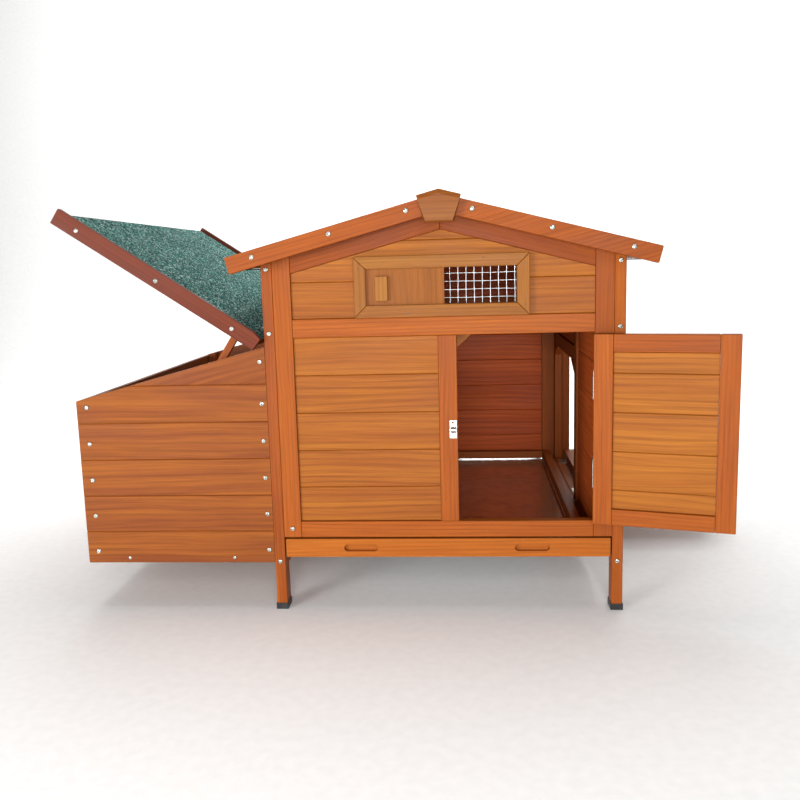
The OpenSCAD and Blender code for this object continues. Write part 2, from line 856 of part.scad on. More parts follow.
// lid hinges: the pin runs along Y, with the lid raised at rest
module lid_barrels(first, bore) {
    rotate([-90, 0, 0]) {
        count = 5;
        step = lid_hinge_h / count;
        for (i = [first : 2 : count - 1]) translate([0, 0, -lid_hinge_h / 2 + i * step + 0.15])
            difference() {
                cylinder(r = lid_knuckle_r, h = step - 0.3, $fn = round_fn);
                if (bore > 0) translate([0, 0, -1]) cylinder(r = bore, h = step + 2, $fn = round_fn);
            }
    }
}

module lid_hinge_wall_leaves() {
    step = lid_hinge_h / 5;
    color(ZINC) house() for (y = lid_hinge_ys) translate([hinge_x, y, hinge_z]) {
        lid_barrels(0, 0);
        rotate([-90, 0, 0]) translate([0, 0, -lid_hinge_h / 2])
            cylinder(r = pin_r, h = lid_hinge_h, $fn = round_fn);
        translate([hinge_back - joint - leaf_t, -lid_hinge_h / 2, 0])
            cube([leaf_t, lid_hinge_h, 20]);
        for (i = [0, 2, 4]) translate([0, -lid_hinge_h / 2 + i * step + 0.15, lid_knuckle_r - leaf_t])
            cube([hinge_back - joint, step - 0.3, leaf_t]);
    }
}

// the lid's own frame: X points from the hinge back to the house, Z out of the felt
module on_lid() {
    house() translate([hinge_x, 0, hinge_z]) rotate([0, lid_raise, 0]) children();
}

module lid_hinge_lid_leaves() {
    step = lid_hinge_h / 5;
    color(ZINC) on_lid() for (y = lid_hinge_ys) translate([0, y, 0]) {
        lid_barrels(1, pin_r + pin_fit);
        difference() {
            translate([-26, -lid_hinge_h / 2, -0.9]) cube([26, lid_hinge_h, leaf_t - 0.2]);
            for (i = [0, 2, 4]) translate([-lid_knuckle_r - 0.4, -lid_hinge_h / 2 + i * step - 0.15, -2])
                cube([lid_knuckle_r + 1, step + 0.3, 4]);
            rotate([-90, 0, 0]) translate([0, 0, -lid_hinge_h])
                cylinder(r = pin_r + pin_fit, h = 2 * lid_hinge_h, $fn = round_fn);
        }
    }
}

// ------------------------------------------------------------ screws of the fixed frame

module frame_screws() {
    fascia_low = -fascia_drop * cos(roof_pitch);
    run = roof_x1 / cos(roof_pitch);
    color(ZINC) house() {
        for (x = [-half_w + post_w / 2, half_w - post_w / 2],
            z = [leg_h - 8, door_head_z + 8, roof_z(half_w) - post_screw_drop]) screw_y(x, 0, z);
        screw_y(-stile_in - stile_w / 2, 0, sill_z - 12);
        for (side = [-1, 1], t = [50, 175, 302]) translate([0, -roof_over_y, 0]) on_slope(side)
            screw_y(t, 0, fascia_low + fascia_w * 0.58);
        for (x = [-half_w + post_w / 2, half_w - post_w / 2], z = [leg_h - 8, house_mid_z, roof_z(half_w) - 2 * post_screw_drop])
            translate([0, house_d, 0]) mirror([0, 1, 0]) screw_y(x, 0, z);
        for (side = [-1, 1], t = [50, 175, 302]) translate([0, house_d + roof_over_y, 0])
            mirror([0, 1, 0]) on_slope(side) screw_y(t, 0, fascia_low + fascia_w * 0.58);
    }
}

module nest_screws() {
    left_x = nest_x0 + plank_t + batten_w / 2;
    right_x = -half_w - batten_w / 2;
    color(ZINC) house() for (face = [0, 1])
        translate([0, face * house_d, 0]) mirror([0, face, 0]) {
            for (i = [0 : 4]) screw_y(left_x, 0, nest_low_z + 21 + i * course_h);
            for (i = [0 : 4]) screw_y(right_x, 0, nest_low_z + 23 + i * course_h);
            screw_y(right_x, 0, nest_z(right_x) - 22);
            for (x = [nest_x0 + 73, -half_w - 70]) translate([x, 0, nest_low_z + 9]) scale(0.7)
                screw_y(0, 0, 0);
        }
}

// ------------------------------------------------------------ front door

// the closed door, turned about its hinge pin to where it stands at rest
module door_pose() {
    house() translate([pin_x, pin_y, 0]) rotate([0, 0, door_open])
        translate([-pin_x, -pin_y, 0]) children();
}

module door_frame() {
    y = [0, frame_t];
    color(FIR) door_pose() {
        block([door_x0, door_x0 + stile_w], y, [door_z0, door_z1]);
        block([door_x1 - stile_w, door_x1], y, [door_z0, door_z1]);
        block([door_x0 + stile_w + joint, door_x1 - stile_w - joint], y,
            [door_z0, door_z0 + door_low_rail_h]);
        block([door_x0 + stile_w + joint, door_x1 - stile_w - joint], y,
            [door_z1 - door_rail_h, door_z1]);
    }
}

module door_planks() {
    top = door_z1 - door_rail_h;
    color(FIR) door_pose() planks_x([door_x0 + stile_w + joint, door_x1 - stile_w - joint],
        [plank_in, plank_in + plank_t], [door_z0 + door_low_rail_h + joint, top - joint],
        door_head_z);
}

module door_hinge_door_leaves() {
    color(ZINC) house() for (z = butt_zs) translate([pin_x, pin_y, z])
        rotate([0, 0, door_open]) door_leaf(butt_h);
}

bolt_x0 = door_x0 + 3;

// base plate and two guides of the sliding bolt, on the outer face of the door
module bolt_plate() {
    color(ZINC) door_pose() {
        block([bolt_x0, bolt_x0 + 27], [-1.3, -0.1], [bolt_z - 13, bolt_z + 13]);
        for (x = [bolt_x0 + 1, bolt_x0 + 20]) difference() {
            union() {
                translate([x, rod_y, bolt_z]) rotate([0, 90, 0])
                    cylinder(r = rod_r + 0.6 + staple_t, h = 6, $fn = round_fn);
                for (s = [-1, 1]) block([x, x + 6], [rod_y, -1.2],
                    [bolt_z + s * 3.9 - 0.8, bolt_z + s * 3.9 + 0.8]);
            }
            translate([x - 1, rod_y, bolt_z]) rotate([0, 90, 0])
                cylinder(r = rod_r + 0.08, h = 8, $fn = round_fn);
        }
    }
}

module bolt_rod() {
    color(ZINC) door_pose() {
        translate([bolt_x0 + 0.5, rod_y, bolt_z]) rotate([0, 90, 0])
            cylinder(r = rod_r, h = rod_len, $fn = round_fn);
        translate([bolt_x0 + rod_len - 3, rod_y, bolt_z]) rotate([90, 0, 0])
            cylinder(r = 2, h = 9, $fn = round_fn);
        translate([bolt_x0 + rod_len - 3, rod_y - 11, bolt_z]) sphere(r = 4, $fn = round_fn);
    }
}

// ------------------------------------------------------------ nest box lid

lid_y = [-lid_board_gap, house_d + lid_board_gap];

module lid_boards() {
    count = ceil((lid_len - 5) / course_h);
    color(FIR_DARK) on_lid() for (i = [0 : count - 1]) {
        a = max(1.5, i * course_h + joint);
        b = min(lid_len - 4, (i + 1) * course_h);
        along_y([lid_y[0] + joint, lid_y[1] - joint]) polygon([[-b, lid_under], [-a - 1, lid_under],
            [-a, lid_under + 1], [-a, lid_under + plank_t], [-b, lid_under + plank_t]]);
    }
}

// felt over the lid boards, folded down over the outer edge and cut round the hinges
module lid_felt() {
    z0 = lid_under + plank_t + 0.05;
    color(FELT) on_lid() difference() {
        along_y([lid_y[0] + joint, lid_y[1] - joint]) polygon([[-1.5, z0], [-lid_len + 4 - 0.05, z0],
            [-lid_len + 4 - 0.05, lid_under - 1], [-lid_len + 2, lid_under - 1],
            [-lid_len + 2, -1], [-1.5, -1]]);
        for (y = lid_hinge_ys) block([-lid_knuckle_r - 1.5, 1],
            [y - lid_hinge_h / 2 - 1, y + lid_hinge_h / 2 + 1], [-4, 1]);
    }
}

// boards along the two ends of the lid, clipped where they meet the house
module lid_end_boards() {
    top = lid_board_top;
    low = top - lid_board_h;
    color(FIR) on_lid() for (y0 = [lid_y[0] - lid_board_t, lid_y[1]])
        along_y([y0, y0 + lid_board_t]) polygon([[-1, low], [-lid_len, low], [-lid_len, top],
            [1 - lid_clip_x, top], [1, top - lid_clip_z]]);
}

// battens under the lid boards: three down the slope and one along the outer edge
module lid_battens() {
    z = [lid_under - batten_w, lid_under - 0.05];
    inner = nest_w - 40;
    color(FIR_DARK) on_lid() {
        for (y = [60, house_d * 0.27, house_d * 0.73 - batten_w, house_d - 60 - batten_w])
            block([-inner, -40], [y, y + batten_w], z);
        block([-lid_len + 8, -lid_len + 8 + 2 * batten_w], [lid_y[0] + 1, lid_y[1] - 1],
            [lid_under - 6, lid_under - 0.05]);
    }
}

module lid_screws() {
    z = lid_under + plank_t / 2;
    color(ZINC) on_lid() for (s = [48, 193, 344]) {
        screw_y(-s, lid_y[0] - lid_board_t, z);
        translate([0, lid_y[1] + lid_board_t, 0]) mirror([0, 1, 0]) screw_y(-s, 0, z);
    }
}

// short stick between the nest box wall and the underside of the lid
module lid_prop() {
    foot_x = -half_w - prop_foot_nx;
    foot_z = nest_z(foot_x) - prop_foot_drop;
    // distance from the prop's foot to the underside of the raised lid
    reach = (hinge_x - foot_x) * sin(lid_raise) + (hinge_z - foot_z) * cos(lid_raise)
        + lid_under - prop_slack;
    color(FIR) house() translate([foot_x, prop_y0, foot_z]) rotate([0, lid_raise, 0])
        difference() {
            translate([0, prop_t, 0]) rotate([90, 0, 0]) linear_extrude(prop_t) union() {
                translate([-prop_w / 2, 0]) square([prop_w, reach - prop_w / 2]);
                circle(r = prop_w / 2, $fn = 48);
                translate([0, reach - prop_w / 2]) circle(r = prop_w / 2, $fn = 48);
            }
            translate([0, -1, 0]) rotate([-90, 0, 0])
                cylinder(r = prop_pin_r + pin_fit, h = prop_t + 2, $fn = round_fn);
        }
}

// ------------------------------------------------------------ window shutter

module shutter_panel() {
    color(PLY) house() block([open_x0 - groove_d + pass_gap, shutter_x1],
        [shutter_y0, shutter_y0 + shutter_t],
        [open_z0 - groove_d + pass_gap, open_z1 + groove_d - pass_gap]);
}

module shutter_handle() {
    cz = (open_z0 + open_z1) / 2 - 2.5;
    x0 = open_x0 + 15;
    color(HONEY) house() block([x0, x0 + handle_w],
        [shutter_y0 - joint - handle_t, shutter_y0 - joint],
        [cz - handle_h / 2, cz + handle_h / 2]);
}

// ------------------------------------------------------------ pop door

// the closed pop door, folded down about its sill hinge
module pop_pose() {
    house() translate([pop_pin_x, 0, pop_pin_z]) rotate([0, 90, 0])
        translate([-pop_pin_x, 0, -pop_pin_z]) children();
}

pop_door_x = [right_x0 + 1, right_x1];
pop_door_y = [pop_y0 + pop_gap, pop_y1 - pop_gap];
pop_door_z = [pop_z0 + 3, pop_z1 - pop_gap];

module pop_door_outline(inset) {
    clip = 2.5;
    y0 = pop_door_y[0] + inset;
    y1 = pop_door_y[1] - inset;
    z1 = pop_door_z[1] - inset;
    cy = pop_clip_y + clip - inset * 0.35;
    cz = pop_clip_z + clip - inset * 0.25;
    polygon([[y0, pop_door_z[0] + inset], [y1, pop_door_z[0] + inset], [y1, z1 - cz],
        [y1 - cy, z1], [y0 + cy, z1], [y0, z1 - cz]]);
}

module pop_door_frame() {
    color(FIR) pop_pose() difference() {
        along_x(pop_door_x) pop_door_outline(0);
        along_x([pop_door_x[0] - 1, pop_door_x[1] + 1]) pop_door_outline(stile_w);
    }
}

module pop_door_planks() {
    x = [pop_door_x[0] + plank_in, pop_door_x[0] + plank_in + plank_t];
    color(FIR_DARK) pop_pose() intersection() {
        planks_y(x, [pop_door_y[0], pop_door_y[1]], [pop_door_z[0], pop_door_z[1]],
            pop_door_z[1] - 10);
        along_x([x[0] - 1, x[1] + 1]) pop_door_outline(stile_w + joint);
    }
}

pop_hinge_ys = [pop_y0 + pop_hinge_inset, pop_y1 - pop_hinge_inset];

module pop_barrels(first, bore) {
    rotate([-90, 0, 0]) {
        step = pop_hinge_w / 5;
        for (i = [first : 2 : 4]) translate([0, 0, -pop_hinge_w / 2 + i * step + 0.15])
            difference() {
                cylinder(r = 2.2, h = step - 0.3, $fn = round_fn);
                if (bore > 0) translate([0, 0, -1]) cylinder(r = bore, h = step + 2, $fn = round_fn);
            }
    }
}

// leaf of a pop door hinge that lies flat between the sill and the door
module pop_leaf(up, odd, bore) {
    step = pop_hinge_w / 5;
    z = up ? 0.4 : -1.4;
    difference() {
        translate([-16, -pop_hinge_w / 2, z]) cube([16, pop_hinge_w, 1]);
        for (i = odd ? [0, 2, 4] : [1, 3]) translate([-3, -pop_hinge_w / 2 + i * step - 0.15, -3])
            cube([8, step + 0.3, 6]);
        if (bore > 0) rotate([-90, 0, 0]) translate([0, 0, -pop_hinge_w])
            cylinder(r = bore, h = 2 * pop_hinge_w, $fn = round_fn);
    }
}

module pop_hinge_sill_leaves() {
    color(ZINC) house() for (y = pop_hinge_ys) translate([pop_pin_x, y, pop_pin_z]) {
        pop_barrels(0, 0);
        rotate([-90, 0, 0]) translate([0, 0, -pop_hinge_w / 2])
            cylinder(r = 1, h = pop_hinge_w, $fn = round_fn);
        pop_leaf(false, false, 0);
    }
}

module pop_hinge_door_leaves() {
    color(ZINC) pop_pose() for (y = pop_hinge_ys) translate([pop_pin_x, y, pop_pin_z]) {
        pop_barrels(1, 1 + pin_fit);
        pop_leaf(true, true, 1 + pin_fit);
    }
}

// ledge outside the wall that the lowered pop door lies on
module pop_door_rest() {
    top = pop_pin_z + (pop_pin_x - right_x1) - 0.4;
    color(FIR) house() block([right_x1 + joint + 5, right_x1 + 5 + pop_rest_w],
        [pop_y0 + 4, pop_y1 - 4], [top - pop_rest_w, top]);
}

// turn button above the pop hole, lying level while the door is down
module turn_button() {
    color(FIR) house() translate([right_x1 + 1, button_y, button_z]) rotate([90, 0, 90])
        difference() {
            linear_extrude(button_t) union() {
                square([button_len - button_w, button_w], center = true);
                for (e = [-1, 1]) translate([e * (button_len - button_w) / 2, 0])
                    circle(d = button_w, $fn = 48);
            }
            translate([0, 0, -1]) cylinder(r = button_pin_r + pin_fit, h = button_t + 2, $fn = round_fn);
        }
}

// screw that the turn button swings on
module button_screw() {
    color(ZINC) house() translate([right_x1, button_y, button_z]) rotate([0, 90, 0]) {
        cylinder(r = button_pin_r, h = button_t + 1.5 + screw_h, $fn = round_fn);
        translate([0, 0, button_t + 1.5]) cylinder(r = screw_r, h = screw_h, $fn = round_fn);
    }
}

front_posts();
rear_posts();
foot_caps();
front_stiles();
front_rails();
centre_stile();
front_gable_rails();
front_panel_planks();
front_gable_planks();
window_frame();
window_mesh();
door_stop_block();
back_frame();
back_planks();
left_wall_frame();
left_wall_planks();
right_wall_frame();
right_wall_planks();
ridge_beam();
tray_runners();
roof_boards();
roof_felt();
fascia_boards();
ridge_keystones();
roof_brackets();
nest_front_planks();
nest_back_planks();
nest_outer_planks();
nest_battens();
nest_floor();
nest_divider();
door_hinge_jamb_leaves();
bolt_keeper();
lid_hinge_wall_leaves();
pop_hinge_sill_leaves();
pop_door_rest();
frame_screws();
nest_screws();
button_screw();
door_frame();
door_planks();
door_hinge_door_leaves();
bolt_plate();
bolt_rod();
lid_boards();
lid_felt();
lid_end_boards();
lid_battens();
lid_hinge_lid_leaves();
lid_screws();
lid_prop();
shutter_panel();
shutter_handle();
tray_front();
tray_sides();
tray_pan();
pop_door_frame();
pop_door_planks();
pop_hinge_door_leaves();
turn_button();
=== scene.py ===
"""The looks of a small stained fir hutch with a felted roof, a side nest box and a pull-out tray."""

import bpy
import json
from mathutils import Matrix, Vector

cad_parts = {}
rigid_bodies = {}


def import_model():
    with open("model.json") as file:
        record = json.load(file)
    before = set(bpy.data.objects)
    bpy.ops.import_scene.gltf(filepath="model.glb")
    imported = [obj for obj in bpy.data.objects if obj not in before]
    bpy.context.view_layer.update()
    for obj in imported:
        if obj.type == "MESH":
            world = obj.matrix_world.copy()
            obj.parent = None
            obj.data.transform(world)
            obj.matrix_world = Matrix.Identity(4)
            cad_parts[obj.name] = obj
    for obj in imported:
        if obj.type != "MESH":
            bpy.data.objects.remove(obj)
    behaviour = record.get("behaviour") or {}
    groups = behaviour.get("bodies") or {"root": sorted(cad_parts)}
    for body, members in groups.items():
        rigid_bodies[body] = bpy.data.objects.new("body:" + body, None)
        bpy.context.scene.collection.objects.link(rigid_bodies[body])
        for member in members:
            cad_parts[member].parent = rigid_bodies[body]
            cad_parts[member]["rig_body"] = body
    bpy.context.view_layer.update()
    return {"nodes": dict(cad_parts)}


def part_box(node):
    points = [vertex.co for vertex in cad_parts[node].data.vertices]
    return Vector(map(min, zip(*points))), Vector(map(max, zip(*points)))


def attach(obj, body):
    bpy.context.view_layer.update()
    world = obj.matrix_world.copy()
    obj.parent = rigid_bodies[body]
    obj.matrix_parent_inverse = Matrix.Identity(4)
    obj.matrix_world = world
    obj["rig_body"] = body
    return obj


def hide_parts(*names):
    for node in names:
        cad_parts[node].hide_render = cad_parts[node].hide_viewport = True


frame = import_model()

import json
import logging
import math
from dataclasses import dataclass
from enum import Enum
from typing import Dict, List, Optional, Sequence, Tuple

import bmesh
import bpy
import numpy as np
from mathutils import Matrix, Vector

logging.basicConfig(level=logging.INFO, format="%(levelname)s %(message)s")
log = logging.getLogger("hutch")

MM = 0.001
Hex = str
Sockets = Dict[object, object]
Place = Tuple[float, float, float]
# points closer than this are one point, in metres
WELD = 1e-5
# faces that meet flatter than this become one face, in radians
FLAT = 0.012


# --------------------------------------------------------------- small tools


def linear(colour: Hex, alpha: float = 1.0) -> Tuple[float, float, float, float]:
    """Turn an sRGB hex colour into linear light.

    Args:
        colour: six hex digits after a hash.
        alpha: opacity from 0 to 1.

    Returns:
        Red, green, blue and alpha as the shader wants them.
    """
    parts = np.array([int(colour[i : i + 2], 16) for i in (1, 3, 5)]) / 255.0
    low = parts / 12.92
    high = ((parts + 0.055) / 1.055) ** 2.4
    out = np.where(parts <= 0.04045, low, high)
    return float(out[0]), float(out[1]), float(out[2]), alpha


def add_node(tree: bpy.types.NodeTree, kind: str, sockets: Optional[Sockets] = None,
             **settings: object) -> bpy.types.Node:
    """Add one node, with its settings and the values or links of its sockets.

    Args:
        tree: node tree that takes the node.
        kind: Blender's name for the node type.
        sockets: input name or index to a value, or to the output that feeds it.
        **settings: attributes set on the node itself.

    Returns:
        The new node.
    """
    node = tree.nodes.new(kind)
    for name, value in settings.items():
        setattr(node, name, value)
    for key, value in (sockets or {}).items():
        if isinstance(value, bpy.types.NodeSocket):
            tree.links.new(value, node.inputs[key])
        else:
            node.inputs[key].default_value = value
    return node


def set_ramp(node: bpy.types.Node, stops: Sequence[Tuple[float, Hex]]) -> None:
    """Give a colour ramp its stops.

    Args:
        node: the colour ramp node.
        stops: position and sRGB hex colour of each stop, in order.
    """
    marks = node.color_ramp.elements
    while len(marks) < len(stops):
        marks.new(1.0)
    for mark, (place, colour) in zip(marks, stops):
        mark.position = place
        mark.color = linear(colour)


def new_material(name: str) -> Tuple[bpy.types.Material, bpy.types.NodeTree, bpy.types.Node]:
    """Make an empty node material with its surface shader joined up.

    Args:
        name: what the finish is called.

    Returns:
        The material, its tree and its Principled shader.
    """
    material = bpy.data.materials.new(name)
    material.use_nodes = True
    tree = material.node_tree
    tree.nodes.clear()
    shader = add_node(tree, "ShaderNodeBsdfPrincipled")
    add_node(tree, "ShaderNodeOutputMaterial", {"Surface": shader.outputs[0]})
    return material, tree, shader


# --------------------------------------------------------------- finishes


@dataclass(frozen=True)
class StainedTimber:
    """Softwood with a brushed translucent stain, which pools in the soft early wood.

    The eye reads it by dark late wood lines along the board, streaks of stain,
    a different tone from board to board, and the odd knot.
    """

    name: str
    red: Hex = "#793b1a"
    mid: Hex = "#93511b"
    pale: Hex = "#a4621f"
    late: Hex = "#56250b"
    # distance between late wood lines
    ring_mm: float = 11.0
    # how far a line wanders across the board
    wander_mm: float = 16.0
    # how strongly the late wood lines show
    line_depth: float = 0.4
    knots: float = 1.0
    # how much the stain changes from band to band
    banding: float = 1.5
    roughness: float = 0.46
    # painted light: faces inside the house take this brighter, redder ramp, for the light that bounces round
    # inside
    inside: Tuple[Hex, Hex, Hex] = ("#a4421d", "#b9511e", "#c86228")

    def make(self) -> bpy.types.Material:
        """Build the node material: boards carry a map in metres and four marks."""
        material, tree, shader = new_material(self.name)
        place = add_node(tree, "ShaderNodeUVMap", uv_map="boards")
        axes = add_node(tree, "ShaderNodeSeparateXYZ", {0: place.outputs[0]})
        board = add_node(tree, "ShaderNodeAttribute", attribute_name="board")
        marks = add_node(tree, "ShaderNodeSeparateColor", {0: board.outputs["Color"]})
        # the marks are the board's tone and seed, whether a face is an end,
        # and whether it is inside the house, where it takes painted interior light
        along, across = axes.outputs[0], axes.outputs[1]
        tone, seed, end = marks.outputs[0], marks.outputs[1], marks.outputs[2]

        def spot(u_scale: float, v_scale: float, v: bpy.types.NodeSocket,
                 turn: float) -> bpy.types.NodeSocket:
            """Give a pattern's own coordinates: along and across the board, then the board's seed."""
            u_out = add_node(tree, "ShaderNodeMath", {0: along, 1: u_scale}, operation="MULTIPLY")
            v_out = add_node(tree, "ShaderNodeMath", {0: v, 1: v_scale}, operation="MULTIPLY")
            s_out = add_node(tree, "ShaderNodeMath", {0: seed, 1: turn}, operation="MULTIPLY")
            joined = add_node(tree, "ShaderNodeCombineXYZ",
                              {0: u_out.outputs[0], 1: v_out.outputs[0], 2: s_out.outputs[0]})
            return joined.outputs[0]

        # the grain wanders slowly, over about half a metre
        drift = add_node(tree, "ShaderNodeTexNoise",
                         {"Vector": spot(2.3, 7.0, across, 37.0), "Scale": 1.0, "Detail": 2.0})
        knot = add_node(tree, "ShaderNodeTexVoronoi", {"Vector": spot(2.1, 8.0, across, 23.0), "Scale": 1.0})
        near = add_node(tree, "ShaderNodeMapRange",
                        {"Value": knot.outputs["Distance"], "From Min": 0.0, "From Max": 0.22,
                         "To Min": self.knots, "To Max": 0.0}, interpolation_type="SMOOTHSTEP")
        picked = add_node(tree, "ShaderNodeSeparateColor", {0: knot.outputs["Color"]})
        chosen = add_node(tree, "ShaderNodeMath", {0: picked.outputs[0], 1: 0.66}, operation="GREATER_THAN")
        swirl = add_node(tree, "ShaderNodeMath", {0: near.outputs[0], 1: chosen.outputs[0]},
                         operation="MULTIPLY")
        shift = add_node(tree, "ShaderNodeMath",
                         {0: drift.outputs[0], 1: self.wander_mm * MM * 2.0, 2: across},
                         operation="MULTIPLY_ADD")
        bent = add_node(tree, "ShaderNodeMath", {0: swirl.outputs[0], 1: 0.014, 2: shift.outputs[0]},
                        operation="MULTIPLY_ADD")
        figure = add_node(tree, "ShaderNodeTexNoise",
                          {"Vector": spot(1.3, 30.0, bent.outputs[0], 11.0), "Scale": 1.0,
                           "Detail": 4.0, "Roughness": 0.6})
        # late wood lines: a sine of the wandering distance across, sharpened on one side
        phase = add_node(tree, "ShaderNodeMath", {0: figure.outputs[0], 1: 9.0}, operation="MULTIPLY")
        rings = add_node(tree, "ShaderNodeMath",
                         {0: bent.outputs[0], 1: 2.0 * math.pi / (self.ring_mm * MM),
                          2: phase.outputs[0]}, operation="MULTIPLY_ADD")
        wave = add_node(tree, "ShaderNodeMath", {0: rings.outputs[0]}, operation="SINE")
        half = add_node(tree, "ShaderNodeMapRange",
                        {"Value": wave.outputs[0], "From Min": -1.0, "From Max": 1.0})
        line = add_node(tree, "ShaderNodeMath", {0: half.outputs[0], 1: 2.6}, operation="POWER")
        # fibres a millimetre or two wide, coarse enough to be seen
        fibre = add_node(tree, "ShaderNodeTexNoise",
                         {"Vector": spot(9.0, 640.0, bent.outputs[0], 5.0), "Scale": 1.0, "Detail": 3.0,
                          "Roughness": 0.65})
        # bands up to two centimetres wide where the stain took more or less
        band = add_node(tree, "ShaderNodeTexNoise",
                        {"Vector": spot(1.7, 48.0, bent.outputs[0], 71.0), "Scale": 1.0, "Detail": 4.0,
                         "Roughness": 0.7})
        blotch = add_node(tree, "ShaderNodeTexNoise",
                          {"Vector": spot(5.0, 14.0, across, 51.0), "Scale": 1.0, "Detail": 3.0})

        tinted = add_node(tree, "ShaderNodeMath", {0: blotch.outputs[0], 1: 0.5, 2: tone},
                          operation="MULTIPLY_ADD")
        banded = add_node(tree, "ShaderNodeMath",
                          {0: band.outputs[0], 1: self.banding, 2: tinted.outputs[0]},
                          operation="MULTIPLY_ADD")
        levelled = add_node(tree, "ShaderNodeMath",
                            {0: banded.outputs[0], 1: 0.25 + 0.5 * self.banding}, operation="SUBTRACT",
                            use_clamp=True)
        stain = add_node(tree, "ShaderNodeValToRGB", {0: levelled.outputs[0]})
        set_ramp(stain, [(0.0, self.red), (0.5, self.mid), (1.0, self.pale)])
        # painted light: inside faces get a brighter, redder copy of the stain, standing in for the light
        # that bounces round inside the house
        painted_inside_light = add_node(tree, "ShaderNodeValToRGB", {0: levelled.outputs[0]})
        set_ramp(painted_inside_light, list(zip((0.0, 0.5, 1.0), self.inside)))
        coat = add_node(tree, "ShaderNodeMix",
                        {0: board.outputs["Alpha"], 6: stain.outputs[0], 7: painted_inside_light.outputs[0]},
                        data_type="RGBA")
        patch = add_node(tree, "ShaderNodeMapRange",
                         {"Value": figure.outputs[0], "From Min": 0.3, "From Max": 0.7, "To Min": 0.15,
                          "To Max": 1.0})
        weight = add_node(tree, "ShaderNodeMath", {0: line.outputs[0], 1: patch.outputs[0]},
                          operation="MULTIPLY")
        depth = add_node(tree, "ShaderNodeMath", {0: weight.outputs[0], 1: self.line_depth},
                         operation="MULTIPLY")
        grained = add_node(tree, "ShaderNodeMix",
                           {0: depth.outputs[0], 6: coat.outputs[2], 7: linear(self.late)},
                           data_type="RGBA")
        streak = add_node(tree, "ShaderNodeMapRange",
                          {"Value": fibre.outputs[0], "From Min": 0.32, "From Max": 0.68,
                           "To Min": 0.82, "To Max": 1.15})
        fibred = add_node(tree, "ShaderNodeVectorMath",
                          {0: grained.outputs[2], "Scale": streak.outputs[0]}, operation="SCALE")
        core = add_node(tree, "ShaderNodeMapRange",
                        {"Value": knot.outputs["Distance"], "From Min": 0.028, "From Max": 0.05,
                         "To Min": 0.8 * self.knots, "To Max": 0.0}, interpolation_type="SMOOTHSTEP")
        dark = add_node(tree, "ShaderNodeMath", {0: core.outputs[0], 1: chosen.outputs[0]},
                        operation="MULTIPLY")
        knotted = add_node(tree, "ShaderNodeMix",
                           {0: dark.outputs[0], 6: fibred.outputs[0], 7: linear("#4a2110")},
                           data_type="RGBA")
        sawn = add_node(tree, "ShaderNodeMath", {0: end, 1: -0.32, 2: 1.0}, operation="MULTIPLY_ADD")
        final = add_node(tree, "ShaderNodeVectorMath",
                         {0: knotted.outputs[2], "Scale": sawn.outputs[0]}, operation="SCALE")
        tree.links.new(final.outputs[0], shader.inputs["Base Color"])

        gloss = add_node(tree, "ShaderNodeMapRange",
                         {"Value": blotch.outputs[0], "From Min": 0.3, "From Max": 0.7,
                          "To Min": self.roughness - 0.07, "To Max": self.roughness + 0.1})
        tree.links.new(gloss.outputs[0], shader.inputs["Roughness"])
        relief = add_node(tree, "ShaderNodeMath", {0: line.outputs[0], 1: 0.35, 2: fibre.outputs[0]},
                          operation="MULTIPLY_ADD")
        bump = add_node(tree, "ShaderNodeBump",
                        {"Height": relief.outputs[0], "Strength": 0.35, "Distance": 0.25 * MM})
        tree.links.new(bump.outputs[0], shader.inputs["Normal"])
        shader.inputs["IOR"].default_value = 1.47
        # bare fibres break up most of the gloss of the thin stain
        shader.inputs["Specular IOR Level"].default_value = 0.15
        return material


@dataclass(frozen=True)
class MineralFelt:
    """Bitumen roofing felt faced with green slate granules, pressed in while hot.

    The eye reads it as matt, rough and speckled.
    """

    name: str = "green mineral roofing felt"
    # a granule is about a millimetre across, drawn coarser so that it shows
    grain_mm: float = 2.2

    def make(self) -> bpy.types.Material:
        """Build the node material from granules of many shades, lighter and darker in slow patches."""
        material, tree, shader = new_material(self.name)
        place = add_node(tree, "ShaderNodeTexCoord")
        grit = add_node(tree, "ShaderNodeTexVoronoi",
                        {"Vector": place.outputs["Object"], "Scale": 1.0 / (self.grain_mm * MM)})
        shade = add_node(tree, "ShaderNodeSeparateColor", {0: grit.outputs["Color"]})
        colour = add_node(tree, "ShaderNodeValToRGB", {0: shade.outputs[0]})
        set_ramp(colour, [(0.0, "#04110f"), (0.32, "#0f3b36"), (0.62, "#1f665c"), (0.85, "#5da89b"),
                 (1.0, "#dff0ec")])
        patch = add_node(tree, "ShaderNodeTexNoise",
                         {"Vector": place.outputs["Object"], "Scale": 14.0, "Detail": 4.0})
        level = add_node(tree, "ShaderNodeMapRange",
                         {"Value": patch.outputs[0], "From Min": 0.3, "From Max": 0.7, "To Min": 0.78,
                          "To Max": 1.12})
        toned = add_node(tree, "ShaderNodeVectorMath",
                         {0: colour.outputs[0], "Scale": level.outputs[0]}, operation="SCALE")
        tree.links.new(toned.outputs[0], shader.inputs["Base Color"])
        shader.inputs["Roughness"].default_value = 0.93
        shader.inputs["Specular IOR Level"].default_value = 0.25
        bump = add_node(tree, "ShaderNodeBump",
                        {"Height": grit.outputs["Distance"], "Strength": 0.7, "Distance": 0.5 * MM},
                        invert=True)
        tree.links.new(bump.outputs[0], shader.inputs["Normal"])
        return material


